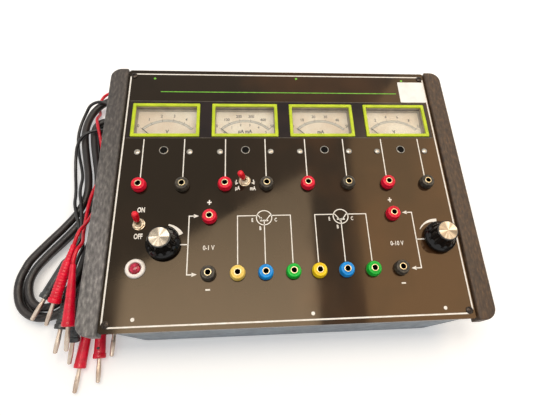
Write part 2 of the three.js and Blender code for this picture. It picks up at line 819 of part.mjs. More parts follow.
const redLeadTwoRoute = [
  [-181.1, -46.1, 41.7], [-180, -42.7, 42.7], [-177.8, -34.5, 42.7], [-176.4, -25.5, 35.7],
  [-175.5, -16, 29.3], [-175, -5.8, 24], [-174.7, 5.2, 20.7], [-174.5, 16.6, 19.8],
  [-174.5, 28.1, 20.7], [-176, 39.2, 18.7], [-177.5, 50.5, 16.8], [-179.4, 61.8, 16.6],
  [-181.6, 73, 18.6], [-184.2, 84, 21], [-187.5, 94.8, 18.6], [-189.3, 103.6, 11.3],
  [-190.9, 112.1, 4.2], [-193, 123.4, 4], [-188.9, 133.5, 5.8], [-179, 135.7, 10.6],
  [-169.5, 133, 16.5], [-161.2, 126, 16.5], [-155.1, 117.6, 11.6], [-151.1, 107.6, 7.6],
  [-148.8, 96.7, 4.8], [-147.7, 85.4, 3.1], [-147.2, 74, 2.2], [-147, 62.5, 1.8],
  [-146.9, 51, 1.7], [-146.7, 39.5, 1.7], [-146.5, 27.9, 1.7], [-146.4, 16.4, 1.7],
  [-146.4, 4.9, 1.7], [-146.9, -6.6, 1.7], [-147.8, -18, 1.9], [-149.3, -29.4, 2.3],
  [-151.7, -40.6, 3.1], [-154.9, -51.6, 4.3], [-158.5, -62.4, 5.9], [-162.5, -73, 7.8],
  [-163.3, -82.1, 8], [-163.1, -85.8, 7.8],
];

const blackLeadOneRoute = [
  [-186.2, -41.7, 23.9], [-184.7, -38.3, 24.2], [-182.8, -29.7, 24.1], [-185.5, -19, 22],
  [-187.8, -8.2, 20.1], [-190.4, 2.6, 18.4], [-193.5, 13.1, 16.2], [-195.7, 23.2, 11.8],
  [-197.1, 33.6, 7.7], [-200, 44, 4.8], [-203.6, 54.6, 3.1], [-206.9, 65.3, 2.4],
  [-209.1, 76.3, 2.5], [-209.7, 87.5, 3.3], [-207.9, 98.4, 5.2], [-203.8, 108.2, 8.7],
  [-197.9, 116, 14], [-187.8, 118.1, 17.5], [-177.1, 115.8, 15.1], [-167.7, 110.4, 12.5],
  [-160.5, 102.1, 10.2], [-156.7, 92, 7.5], [-155.3, 81.2, 5], [-154.7, 70.1, 3.3],
  [-154.6, 58.9, 2.4], [-154.6, 47.6, 1.9], [-154.8, 36.4, 1.7], [-155, 25.1, 1.7],
  [-155.3, 13.9, 1.8], [-155.7, 2.7, 2.2], [-156.2, -8.5, 3.1], [-157.2, -19.6, 4.8],
  [-159.1, -30.1, 8.1], [-161.7, -39.9, 13], [-164.7, -48.7, 19.4], [-167.8, -56.7, 26.6],
  [-171, -64.4, 34.2], [-172.8, -72.3, 33.8], [-173.3, -75.7, 32.4],
];

const blackLeadTwoRoute = [
  [-184.7, -63.1, 24.3], [-184.3, -59.5, 24.6], [-182.9, -50.8, 23.6], [-182.6, -40.8, 18.8],
  [-186.1, -29.9, 18.3], [-189.6, -19, 18], [-193.3, -8.1, 17.9], [-196.8, 2.5, 16],
  [-199.2, 12.7, 11.5], [-201.7, 23.4, 8.1], [-204.1, 34.5, 6.5], [-205.7, 45.8, 6.9],
  [-206, 57, 9.5], [-204.3, 67.3, 14], [-198.6, 76.1, 17.9], [-189, 82.2, 17.6],
  [-178.2, 84.1, 16.4], [-167, 82.7, 17.8], [-157.4, 78.1, 13.8], [-150.1, 70.4, 9.7],
  [-145.5, 60.3, 6.6], [-143.1, 49.3, 4.6], [-142.2, 38, 3.2], [-141.8, 26.6, 2.4],
  [-141.8, 15.1, 2], [-141.9, 3.6, 2], [-142.4, -7.8, 2.4], [-143.4, -19.2, 3.1],
  [-144.8, -30.6, 4.2], [-146.8, -41.8, 5.8], [-149, -52.9, 7.7], [-149.7, -62.1, 7.9],
  [-149.8, -65.8, 7.7],
];

const trainer = new THREE.Group();

function put(name, geometry, material, parent = trainer) {
  const mesh = new THREE.Mesh(geometry, material);
  mesh.name = name;
  parent.add(mesh);
  return mesh;
}

put('case', makeCase(), finish(colours.case, 0.75, 0));
put('front_panel', makePanel(), finish(colours.panel, 0.12, 0));
put('window_strip', makeWindow(), finish(colours.clear, 0.05, 0));
meterPlaces.forEach((x, i) => {
  put(`meter_bezel_${i + 1}`, makeBezel(x), finish(colours.lime, 0.35, 0));
  put(`meter_body_${i + 1}`, makeHousing(x), finish(colours.dial, 0.6, 0));
  placeNeedle(put(`meter_needle_${i + 1}`, makeNeedle(), finish(colours.ink, 0.5, 0)), x);
});

const socketNames = [
  'socket_meter_1_red', 'socket_meter_1_black', 'socket_meter_2_red', 'socket_meter_2_black',
  'socket_meter_3_red', 'socket_meter_3_black', 'socket_meter_4_red', 'socket_meter_4_black',
  'socket_low_plus', 'socket_low_minus', 'socket_high_plus', 'socket_high_minus',
  'socket_pnp_emitter', 'socket_pnp_base', 'socket_pnp_collector',
  'socket_npn_emitter', 'socket_npn_base', 'socket_npn_collector',
];
allSockets().forEach(({ x, y, colour }, i) => {
  const socket = put(socketNames[i], makeSocket(), finish(colours[colour], 0.3, 0));
  socket.position.set(x, y, panelTop);
});

knobPlaces.forEach((x, i) => {
  const side = i === 0 ? 'left' : 'right';
  const y = knobPlace + printOffset;
  put(`pot_${side}`, makePot(), finish(colours.nickel, 0.35, 0.9)).position.set(x, y, panelTop);
  const knob = put(`knob_${side}`, makeKnob(), finish(colours.black, 0.2, 0));
  knob.position.set(x, y, panelTop + nutHeight / 2);
});

const mainsSwitch = new THREE.Group();
mainsSwitch.position.set(mainsTogglePlace[0], mainsTogglePlace[1] + printOffset, panelTop);
put('toggle_mains_body', makeToggleBody(0), finish(colours.nickel, 0.3, 0.9), mainsSwitch);
const mainsLever = put('toggle_mains_lever', makeLever(), finish(colours.red, 0.4, 0), mainsSwitch);
mainsLever.position.z = leverPivotHeight;
mainsLever.rotation.x = -THREE.MathUtils.degToRad(toggleLean);
trainer.add(mainsSwitch);

const rangeSwitch = new THREE.Group();
rangeSwitch.position.set(rangeTogglePlace[0], rangeTogglePlace[1] + printOffset, panelTop);
put('toggle_range_body', makeToggleBody(Math.PI / 2), finish(colours.nickel, 0.3, 0.9), rangeSwitch);
const rangeLever = put('toggle_range_lever', makeLever(), finish(colours.red, 0.4, 0), rangeSwitch);
rangeLever.position.z = leverPivotHeight;
rangeLever.rotation.y = -THREE.MathUtils.degToRad(toggleLean);
trainer.add(rangeSwitch);

const lamp = new THREE.Group();
lamp.position.set(lampPlace[0], lampPlace[1] + printOffset, panelTop);
put('lamp_holder', makeLampHolder(), finish(colours.white, 0.4, 0), lamp);
put('lamp_lens', makeLampLens(), finish(colours.ruby, 0.15, 0), lamp);
trainer.add(lamp);

const gland = put('cord_gland', makeGland(), finish(colours.black, 0.5, 0));
gland.position.set(glandPlace, tubLength / 2, glandHeight);
gland.rotation.x = -Math.PI / 2;

put('mains_plug', makeMainsPlug(), finish(colours.black, 0.5, 0));
put('mains_cord_in', tube(smooth(beside(mainsLeadInRoute)), mainsRadius, 8, 30), finish(colours.cord, 0.5, 0));
put('mains_cord_out', tube(smooth(beside(mainsTailRoute)), mainsRadius, 8, 34), finish(colours.cord, 0.5, 0));
const hank = new HankCurve();
const hankSteps = hankTurns * hankStepsPerTurn;
put('mains_cord_hank', tube(hank, mainsRadius, 6, hankSteps), finish(colours.cord, 0.5, 0));
console.log(`least gap between the hank's turns: ${hankGap(hank).toFixed(2)} mm`);

const leadRoutes = {
  lead_red_1: redLeadOneRoute,
  lead_red_2: redLeadTwoRoute,
  lead_black_1: blackLeadOneRoute,
  lead_black_2: blackLeadTwoRoute,
};
Object.entries(leadRoutes).forEach(([name, route]) => {
  const curve = smooth(beside(route));
  const steps = Math.min(70, Math.round(curve.getLength() / (2.5 * leadDiameter)));
  const colour = name.includes('red') ? colours.red : colours.black;
  put(name, tube(curve, leadRadius, 8, steps), finish(colour, 0.4, 0));
});
Object.entries(patchPlugs).forEach(([name, { colour, tail, tip }]) => {
  const plug = put(name, makePatchPlug(), finish(colours[colour], 0.4, 0));
  const [rear, front] = beside([tail, tip]);
  const aim = new THREE.Vector3(...front).sub(new THREE.Vector3(...rear)).normalize();
  plug.position.set(...rear);
  plug.quaternion.setFromUnitVectors(new THREE.Vector3(0, 0, 1), aim);
});

export default trainer;
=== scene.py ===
import math

import bmesh
import bpy
import numpy as np
from mathutils import Matrix


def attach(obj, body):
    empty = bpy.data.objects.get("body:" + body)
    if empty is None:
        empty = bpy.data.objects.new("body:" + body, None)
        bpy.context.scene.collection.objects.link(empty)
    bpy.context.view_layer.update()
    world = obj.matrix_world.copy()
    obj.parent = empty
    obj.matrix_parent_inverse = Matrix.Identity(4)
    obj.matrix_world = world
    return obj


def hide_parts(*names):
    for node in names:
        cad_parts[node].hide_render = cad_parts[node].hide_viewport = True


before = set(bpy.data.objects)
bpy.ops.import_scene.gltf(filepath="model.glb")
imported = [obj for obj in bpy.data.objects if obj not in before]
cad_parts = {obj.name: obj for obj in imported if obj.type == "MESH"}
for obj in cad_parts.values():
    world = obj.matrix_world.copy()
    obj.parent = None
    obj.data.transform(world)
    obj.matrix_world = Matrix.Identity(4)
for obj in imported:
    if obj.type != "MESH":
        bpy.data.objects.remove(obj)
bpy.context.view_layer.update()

mm = 0.001
panelTop = 60.0  # millimetres above the table, as all lengths below
printShift = 0.75  # the print sits this far behind the case's middle
scene = bpy.context.scene
scene.view_settings.view_transform = "Standard"
print("frame loaded:", len(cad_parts), "nodes")


# Camera
cameraView = {
    "place": (-34.7, -162.45, 392.2),
    "turns": (203.78, -4.6, -2.94),  # degrees about X, then Y, then Z
    "focalPixels": 418.8,
    "photo": (555, 416),
    "middle": (287.6, 201.1),  # where the lens axis meets the photo
    "sensor": 36, "clip": (0.02, 20),
}


def turnAbout(axis, degrees):
    return np.array(Matrix.Rotation(math.radians(degrees), 3, axis))


def setCamera(view):
    # columns of turn are the photo's right, down and forward
    a, b, c = view["turns"]
    turn = turnAbout("Z", c) @ turnAbout("Y", b) @ turnAbout("X", a)
    lens = bpy.data.cameras.new("photoCamera")
    lens.sensor_width = view["sensor"]
    width, height = view["photo"]
    lens.lens = view["focalPixels"] / width * lens.sensor_width
    lens.shift_x = (width / 2 - view["middle"][0]) / width
    lens.shift_y = (view["middle"][1] - height / 2) / width
    lens.clip_start, lens.clip_end = view["clip"]
    pose = Matrix.Identity(4)
    for row in range(3):
        pose[row][0], pose[row][1], pose[row][2] = turn[row][0], -turn[row][1], -turn[row][2]
        pose[row][3] = view["place"][row] * mm
    camera = bpy.data.objects.new("photoCamera", lens)
    camera.matrix_world = pose
    scene.collection.objects.link(camera)
    scene.camera = camera


setCamera(cameraView)


# Surfaces worked out on grids
# A shape is (points, [faces of one corner count, ...]) in millimetres.
def gridFaces(rows, columns, closeRows=False):
    # corner (i, j) of the grid joins (i, j + 1), (i + 1, j + 1) and (i + 1, j); the columns
    # close round
    i, j = np.meshgrid(np.arange(rows if closeRows else rows - 1), np.arange(columns), indexing="ij")
    nextRow, nextColumn = (i + 1) % rows, (j + 1) % columns
    corners = [i * columns + j, i * columns + nextColumn,
               nextRow * columns + nextColumn, nextRow * columns + j]
    return np.stack(corners, -1).reshape(-1, 4)


def endFans(rows, steps, first, last):
    # triangles that close the first and the last row of a grid to one point each
    j = np.arange(steps)
    k, row = (j + 1) % steps, (rows - 1) * steps
    return [np.stack([np.full(steps, first), k, j], -1),
            np.stack([np.full(steps, last), row + j, row + k], -1)]


def allRound(steps):
    return np.arange(steps) * 2 * np.pi / steps


def unitRows(rows):
    return rows / np.linalg.norm(rows, axis=1, keepdims=True)


def joinShapes(*shapes):
    points, faces, start = [], [], 0
    for corner, groups in shapes:
        points.append(corner)
        faces += [group + start for group in groups]
        start += len(corner)
    return np.vstack(points), faces


def moved(shape, place=(0, 0, 0), turn=None):
    points, faces = shape
    points = np.asarray(points, float)
    if turn is not None:
        points = points @ turn.T
    return points + np.asarray(place, float), faces


def eased(profile, edge, steps=4):
    # every inner corner C becomes the curve (1-t)^2 A + 2t(1-t) C + t^2 B between points
    # A and B that lie up to edge, and at most 0.45 of the side, away from it
    profile = np.asarray(profile, float)
    before, corner, after = profile[:-2], profile[1:-1], profile[2:]
    toBefore, toAfter = before - corner, after - corner
    reachBefore = np.linalg.norm(toBefore, axis=1, keepdims=True)
    reachAfter = np.linalg.norm(toAfter, axis=1, keepdims=True)
    a = corner + toBefore / reachBefore * np.minimum(edge, 0.45 * reachBefore)
    b = corner + toAfter / reachAfter * np.minimum(edge, 0.45 * reachAfter)
    t = np.linspace(0, 1, steps + 1)[None, :, None]
    arcs = (1 - t) ** 2 * a[:, None] + 2 * t * (1 - t) * corner[:, None] + t ** 2 * b[:, None]
    return np.vstack([profile[:1], arcs.reshape(-1, profile.shape[1]), profile[-1:]])


def turned(profile, steps=48, swell=None):
    # point (i, j) = (r_i (1 + swell_ij) cos a_j, r_i (1 + swell_ij) sin a_j, z_i); the
    # profile starts on the axis below and ends on it above, and both ends are one point
    profile = np.asarray(profile, float)
    inner = profile[1:-1]
    angle = allRound(steps)
    radius = inner[:, :1] * np.ones((1, steps))
    if swell is not None:
        radius = radius * (1 + swell(angle[None, :], inner[:, 1:]))
    height = inner[:, 1:] * np.ones((1, steps))
    rings = np.stack([radius * np.cos(angle), radius * np.sin(angle), height], -1).reshape(-1, 3)
    fans = endFans(len(inner), steps, len(rings), len(rings) + 1)
    ends = np.array([[0, 0, profile[0, 1]], [0, 0, profile[-1, 1]]])
    return np.vstack([rings, ends]), [gridFaces(len(inner), steps), *fans]


def turnedRing(profile, steps):
    # a closed profile carried once round Z
    profile = np.asarray(profile, float)
    angle = allRound(steps)
    radius, height = profile[:, :1], profile[:, 1:] * np.ones((1, steps))
    points = np.stack([radius * np.cos(angle), radius * np.sin(angle), height], -1)
    return points.reshape(-1, 3), [gridFaces(len(profile), steps, closeRows=True)]


def cornerLoop(x0, x1, y0, y1, radii, steps=8):
    # quarter circles at the right front, right back, left back and left front
    quarter = np.linspace(0, np.pi / 2, steps + 1)
    starts = np.array([-np.pi / 2, 0, np.pi / 2, np.pi])[:, None]
    radii = np.asarray(radii, float)[:, None]
    corners = np.array([[x1, y0], [x1, y1], [x0, y1], [x0, y0]], float)
    inward = np.array([[-1, 1], [-1, -1], [1, -1], [1, 1]], float)
    centres = corners + inward * radii
    angle = starts + quarter[None, :]
    loop = np.stack([np.cos(angle), np.sin(angle)], -1) * radii[:, :, None] + centres[:, None, :]
    return loop.reshape(-1, 2)


def roundedLoop(halfX, halfY, corner, steps=8, middle=(0, 0)):
    return cornerLoop(-halfX, halfX, -halfY, halfY, [corner] * 4, steps) + np.asarray(middle, float)


def stacked(loops, capped=True):
    # loops are (outline, z) pairs of equal length, joined row to row; the first and the
    # last are closed flat, or joined to each other where capped is False
    rows = np.array([np.column_stack([loop, np.full(len(loop), z)]) for loop, z in loops])
    count = rows.shape[1]
    faces = [gridFaces(len(loops), count, closeRows=not capped)]
    if capped:
        faces.append(np.arange(count)[None, ::-1])
        faces.append((len(loops) - 1) * count + np.arange(count)[None, :])
    return rows.reshape(-1, 3), faces


def boxShape(low, high, edge=0.0):
    # a box; with an edge, its rim is drawn in by that much at both ends
    (x0, y0, z0), (x1, y1, z1) = low, high
    middle = ((x0 + x1) / 2, (y0 + y1) / 2)
    halfX, halfY = (x1 - x0) / 2, (y1 - y0) / 2
    if edge <= 0:
        loop = np.array([[x0, y0], [x1, y0], [x1, y1], [x0, y1]], float)
        return stacked([(loop, z0), (loop, z1)])
    whole = roundedLoop(halfX, halfY, edge, 3, middle)
    small = roundedLoop(halfX - edge, halfY - edge, edge * 0.3, 3, middle)
    return stacked([(small, z0), (whole, z0 + edge), (whole, z1 - edge), (small, z1)])


def strokeShape(line, width, low, high, closed=False):
    # a flat ribbon: the points line, moved half a width to each side along the mitred
    # normal, between two heights
    line = np.asarray(line, float)
    if closed:
        ahead, behind = np.roll(line, -1, 0) - line, line - np.roll(line, 1, 0)
    else:
        step = np.diff(line, axis=0)
        ahead, behind = np.vstack([step, step[-1:]]), np.vstack([step[:1], step])
    ahead, behind = unitRows(ahead), unitRows(behind)
    sideAhead = np.stack([-ahead[:, 1], ahead[:, 0]], -1)
    sideBehind = np.stack([-behind[:, 1], behind[:, 0]], -1)
    side = unitRows(sideAhead + sideBehind)
    side = side / np.clip((side * sideAhead).sum(1, keepdims=True), 0.4, 1)
    left, right = line + side * (width / 2), line - side * (width / 2)
    lows, highs = np.full(len(line), low), np.full(len(line), high)
    rows = np.stack([np.column_stack([left, lows]), np.column_stack([right, lows]),
                     np.column_stack([right, highs]), np.column_stack([left, highs])], 1)
    faces = [gridFaces(len(line), 4, closeRows=closed)]
    if not closed:
        end = (len(line) - 1) * 4
        faces.append(np.array([[0, 1, 2, 3], [end + 3, end + 2, end + 1, end]]))
    return rows.reshape(-1, 3), faces


def arcLine(centre, radius, fromDegrees, toDegrees, steps):
    angle = np.radians(np.linspace(fromDegrees, toDegrees, steps))
    return np.stack([centre[0] + radius * np.cos(angle), centre[1] + radius * np.sin(angle)], -1)


def curveThrough(points, perSpan=10, closed=False):
    # centripetal Catmull-Rom curve: between points 1 and 2 of four neighbours, with knots
    # apart by the square root of the distance
    points = np.asarray(points, float)
    if closed:
        framed = np.vstack([points[-1:], points, points[:2]])
    else:
        framed = np.vstack([2 * points[0] - points[1], points, 2 * points[-1] - points[-2]])
    p0, p1, p2, p3 = framed[:-3], framed[1:-2], framed[2:-1], framed[3:]

    def knot(a, b):
        return np.sqrt(np.linalg.norm(b - a, axis=1))[:, None, None]

    t1 = knot(p0, p1)
    t2 = t1 + knot(p1, p2)
    t3 = t2 + knot(p2, p3)
    t = t1 + (t2 - t1) * (np.arange(perSpan) / perSpan)[None, :, None]
    p0, p1, p2, p3 = (p[:, None, :] for p in (p0, p1, p2, p3))
    a1 = ((t1 - t) * p0 + t * p1) / t1
    a2 = ((t2 - t) * p1 + (t - t1) * p2) / (t2 - t1)
    a3 = ((t3 - t) * p2 + (t - t2) * p3) / (t3 - t2)
    b1 = ((t2 - t) * a1 + t * a2) / t2
    b2 = ((t3 - t) * a2 + (t - t1) * a3) / (t3 - t1)
    line = ((t2 - t) * b1 + (t - t1) * b2) / (t2 - t1)
    line = line.reshape(-1, points.shape[1])
    return line if closed else np.vstack([line, points[-1:]])


def evenly(line, spacing):
    # the same line with points at equal distances
    reach = np.concatenate([[0], np.cumsum(np.linalg.norm(np.diff(line, axis=0), axis=1))])
    count = max(int(round(reach[-1] / spacing)), 3)
    marks = np.linspace(0, reach[-1], count + 1)
    return np.stack([np.interp(marks, reach, line[:, k]) for k in range(line.shape[1])], -1)


def tubeShape(line, radius, sides):
    # rings square to the line, with up the part of +Z square to it; each end is closed by a
    # fan round one point
    ahead = unitRows(np.gradient(line, axis=0))
    side = unitRows(np.cross([0.0, 0.0, 1.0], ahead))
    up = np.cross(ahead, side)
    angle = allRound(sides)
    around = side[:, None] * np.cos(angle)[None, :, None] + up[:, None] * np.sin(angle)[None, :, None]
    rings = (line[:, None] + around * radius).reshape(-1, 3)
    fans = endFans(len(line), sides, len(rings), len(rings) + 1)
    return np.vstack([rings, line[:1], line[-1:]]), [gridFaces(len(line), sides), *fans]


def pointing(direction):
    # turn that takes +Z to a direction
    ahead = np.asarray(direction, float) / np.linalg.norm(direction)
    side = np.cross([0.0, 1.0, 0.0] if abs(ahead[1]) < 0.9 else [1.0, 0.0, 0.0], ahead)
    side = side / np.linalg.norm(side)
    return np.column_stack([side, np.cross(ahead, side), ahead])


def addPiece(name, parts, body="base", sharp=38, place=(0, 0, 0), turn=None):
    # parts are (shape, name of its finish) pairs, turned and moved together into one mesh in
    # metres, and kept apart in it by finish
    points, faces, owners, start = [], [], [], 0
    for index, (shape, _) in enumerate(parts):
        corner, groups = moved(shape, place, turn)
        points.append(corner * mm)
        for group in groups:
            faces += (group + start).tolist()
            owners += [index] * len(group)
        start += len(corner)
    mesh = bpy.data.meshes.new(name)
    mesh.from_pydata(np.vstack(points).tolist(), [], faces)
    for _, finish in parts:
        mesh.materials.append(made[finish])
    mesh.polygons.foreach_set("material_index", owners)
    work = bmesh.new()
    work.from_mesh(mesh)
    bmesh.ops.recalc_face_normals(work, faces=work.faces)
    work.to_mesh(mesh)
    work.free()
    mesh.polygons.foreach_set("use_smooth", [True] * len(mesh.polygons))
    mesh.set_sharp_from_angle(angle=math.radians(sharp))
    piece = bpy.data.objects.new(name, mesh)
    scene.collection.objects.link(piece)
    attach(piece, body)
    return piece


# Finishes
def tone(red, green, blue):
    # screen values 0 to 255 as linear light
    share = np.array([red, green, blue]) / 255
    light = np.where(share <= 0.04045, share / 12.92, ((share + 0.055) / 1.055) ** 2.4)
    return (*light.tolist(), 1.0)


def setInputs(tree, node, inputs):
    # an input that is given another node's output is linked, any other takes the value
    for name, value in inputs.items():
        if isinstance(value, bpy.types.NodeSocket):
            tree.links.new(value, node.inputs[name])
        else:
            node.inputs[name].default_value = value


def newNode(tree, kind, inputs, **settings):
    node = tree.nodes.new("ShaderNode" + kind)
    for name, value in settings.items():
        setattr(node, name, value)
    setInputs(tree, node, inputs)
    return node


def newMaterial(name):
    material = bpy.data.materials.new(name)
    material.use_nodes = True
    return material, material.node_tree, material.node_tree.nodes["Principled BSDF"]


def newFinish(name, colour, roughness, metal=0.0, coat=0.0, gloss=0.5):
    material, tree, shader = newMaterial(name)
    setInputs(tree, shader, {
        "Base Color": colour, "Roughness": roughness, "Metallic": metal,
        "Specular IOR Level": gloss, "Coat Weight": coat, "Coat Roughness": 0.05})
    material.diffuse_color = colour
    return material, tree, shader, newNode(tree, "TexCoord", {}).outputs["Object"]


def noiseOf(tree, where, size, detail, stretch=None):
    # noise whose lumps are about size millimetres across
    if stretch:
        where = newNode(tree, "Mapping", {"Vector": where, "Scale": stretch}).outputs["Vector"]
    inputs = {"Vector": where, "Scale": 1 / (size * mm), "Detail": detail}
    return newNode(tree, "TexNoise", inputs).outputs["Fac"]


def rampOf(tree, value, stops):
    ramp = newNode(tree, "ValToRGB", {"Fac": value})
    while len(ramp.color_ramp.elements) < len(stops):
        ramp.color_ramp.elements.new(0.5)
    for element, (place, colour) in zip(ramp.color_ramp.elements, stops):
        element.position, element.color = place, colour
    return ramp.outputs["Color"]


def rangeOf(tree, value, low, high, fromLow=0.3, fromHigh=0.7):
    inputs = {"Value": value, "From Min": fromLow, "From Max": fromHigh, "To Min": low, "To Max": high}
    return newNode(tree, "MapRange", inputs).outputs["Result"]


def axisOf(tree, where, axis):
    return newNode(tree, "SeparateXYZ", {0: where}).outputs[axis]


def bumpOf(tree, shader, value, depth):
    # depth in millimetres
    bump = newNode(tree, "Bump", {"Height": value, "Distance": depth * mm})
    tree.links.new(bump.outputs["Normal"], shader.inputs["Normal"])


def plasticFinish(name, dark, light, roughness, size, grain, depth, more=None):
    # two near tones in soft clouds, roughness that drifts in finer ones, and a fine grain
    material, tree, shader, where = newFinish(name, tone(*light), roughness[0], **(more or {}))
    cloud, wear = noiseOf(tree, where, size, 5), noiseOf(tree, where, size * 0.37, 6)
    setInputs(tree, shader, {
        "Base Color": rampOf(tree, cloud, [(0.35, tone(*dark)), (0.65, tone(*light))]),
        "Roughness": rangeOf(tree, wear, *roughness)})
    bumpOf(tree, shader, noiseOf(tree, where, grain, 3), depth)
    return material


finishes = {
    # dark and light tone, roughness, size of the clouds, size and depth of the grain in mm, more
    "caseWall": ((66, 78, 90), (90, 105, 118), (0.35, 0.5), 14, 0.7, 0.04),
    "bezelLime": ((178, 198, 8), (200, 218, 24), (0.3, 0.42), 9, 0.4, 0.01),
    "housingGrey": ((152, 140, 124), (182, 170, 153), (0.45, 0.6), 8, 0.5, 0.02),
    "dialCard": ((222, 202, 178), (240, 230, 212), (0.55, 0.7), 22, 0.25, 0.01),
    "dialInk": ((52, 48, 46), (78, 72, 68), (0.5, 0.65), 3, 0.3, 0.005),
    "dialGrey": ((188, 184, 174), (204, 200, 190), (0.5, 0.65), 3, 0.3, 0.005),
    "needleBlack": ((16, 16, 16), (34, 33, 32), (0.35, 0.5), 2, 0.2, 0.004),
    "printWhite": ((232, 226, 216), (250, 247, 242), (0.4, 0.55), 4, 0.3, 0.008),
    "printGreen": ((96, 170, 44), (124, 200, 60), (0.4, 0.55), 4, 0.3, 0.008),
    "bandGloss": ((28, 19, 16), (42, 29, 24), (0.1, 0.18), 30, 1.2, 0.006, {"gloss": 0.24}),
    "bandEdge": ((92, 84, 74), (120, 112, 100), (0.25, 0.4), 6, 0.4, 0.005),
    "labelWhite": ((238, 236, 234), (250, 249, 248), (0.35, 0.5), 12, 0.5, 0.008),
    "socketRed": ((214, 4, 42), (240, 14, 58), (0.24, 0.36), 5, 0.4, 0.015, {"gloss": 0.35}),
    "socketBlack": ((40, 36, 31), (84, 76, 64), (0.28, 0.42), 2.5, 0.4, 0.015, {"gloss": 0.35}),
    "socketPale": ((238, 200, 92), (250, 220, 118), (0.24, 0.36), 5, 0.4, 0.015, {"gloss": 0.35}),
    "socketYellow": ((246, 202, 0), (255, 222, 20), (0.24, 0.36), 5, 0.4, 0.015, {"gloss": 0.35}),
    "socketBlue": ((0, 134, 216), (8, 158, 240), (0.24, 0.36), 5, 0.4, 0.015, {"gloss": 0.35}),
    "socketGreen": ((0, 168, 40), (6, 198, 58), (0.24, 0.36), 5, 0.4, 0.015, {"gloss": 0.35}),
    "platedMetal": ((148, 141, 130), (196, 188, 176), (0.2, 0.34), 2.5, 0.3, 0.01, {"metal": 1.0}),
    "ringMetal": ((176, 158, 122), (216, 200, 164), (0.2, 0.32), 2, 0.3, 0.004, {"metal": 1.0}),
    # painted shade: the insides of the socket bores and of the adjuster holes are near-black
    "paintedHoleShade": ((8, 7, 6), (18, 16, 14), (0.6, 0.8), 2, 0.3, 0.004, {"gloss": 0.08}),
    "nutMetal": ((176, 152, 122), (232, 216, 192), (0.26, 0.4), 1.6, 0.3, 0.004, {"metal": 0.8}),
    "pinMetal": ((182, 160, 142), (212, 196, 180), (0.26, 0.36), 9, 1.0, 0.001, {"metal": 1.0}),
    "screwDark": ((42, 36, 32), (76, 66, 58), (0.25, 0.4), 2, 0.3, 0.01, {"metal": 0.7}),
    "knobBlack": ((10, 10, 10), (22, 21, 21), (0.07, 0.14), 8, 0.6, 0.004, {"gloss": 0.34}),
    "leverRed": ((222, 6, 32), (246, 16, 44), (0.2, 0.32), 4, 0.3, 0.01),
    "lampWhite": ((236, 226, 216), (250, 244, 238), (0.25, 0.38), 6, 0.4, 0.01),
    "footRubber": ((20, 20, 20), (38, 37, 36), (0.6, 0.75), 5, 0.5, 0.04),
    "mainsCord": ((22, 18, 17), (44, 37, 34), (0.34, 0.48), 9, 0.6, 0.03),
    "leadRed": ((206, 4, 30), (234, 14, 46), (0.28, 0.42), 7, 0.5, 0.02),
    "leadBlack": ((20, 19, 20), (42, 40, 40), (0.28, 0.42), 7, 0.5, 0.02),
    "plugRed": ((214, 2, 40), (242, 10, 56), (0.26, 0.38), 6, 0.4, 0.02),
    "plugBlack": ((34, 36, 36), (62, 66, 66), (0.26, 0.38), 6, 0.4, 0.02),
    "fittingBlack": ((20, 19, 19), (42, 40, 39), (0.34, 0.48), 7, 0.5, 0.03),
}
made = {name: plasticFinish(name, *values) for name, values in finishes.items()}


def leatherGrain(name, cell=1.3, depth=0.1):
    # raised pebbles between sunk cell edges, broken up by scuffs along the rail's length, under painted
    # light across the rails
    material, tree, shader, where = newFinish(name, tone(86, 80, 75), 0.42)
    cells = newNode(tree, "TexVoronoi", {"Vector": where, "Scale": 1 / (cell * mm)},
                    feature="DISTANCE_TO_EDGE")
    pebble = rangeOf(tree, cells.outputs["Distance"], 0, 1, 0.0, 0.22)
    scuff = noiseOf(tree, where, 2.6, 8, (1.4, 0.5, 1))
    height = newNode(tree, "Math", {0: pebble, 1: 0.7, 2: scuff}, operation="MULTIPLY_ADD")
    bumpOf(tree, shader, height.outputs[0], depth)
    worn = rampOf(tree, scuff, [(0.3, tone(78, 75, 74)), (0.48, tone(106, 103, 101)),
                                (0.6, tone(126, 123, 120)), (0.74, tone(158, 154, 150))])
    # x + 0.3 y: painted light, pale and cool at the left front and warm brown on the right rail
    across = newNode(tree, "VectorMath", {0: where, 1: (1, 0.3, 0)}, operation="DOT_PRODUCT")
    side = rampOf(tree, rangeOf(tree, across.outputs["Value"], 0, 1, -0.19, 0.19), [
        (0.0, (1, 1, 1, 1)), (0.05, (0.95, 0.93, 0.95, 1)), (0.1, (0.55, 0.52, 0.5, 1)),
        (0.15, (0.41, 0.37, 0.35, 1)), (0.22, (0.35, 0.28, 0.22, 1)), (0.8, (0.38, 0.21, 0.09, 1))])
    wornAndPaintedLight = newNode(tree, "Mix", {"Factor": 1.0, "A": worn, "B": side},
                    data_type="RGBA", blend_type="MULTIPLY")
    setInputs(tree, shader, {
        "Base Color": wornAndPaintedLight.outputs["Result"],
        "Roughness": rangeOf(tree, noiseOf(tree, where, 1.85, 6), 0.42, 0.6)})
    return material


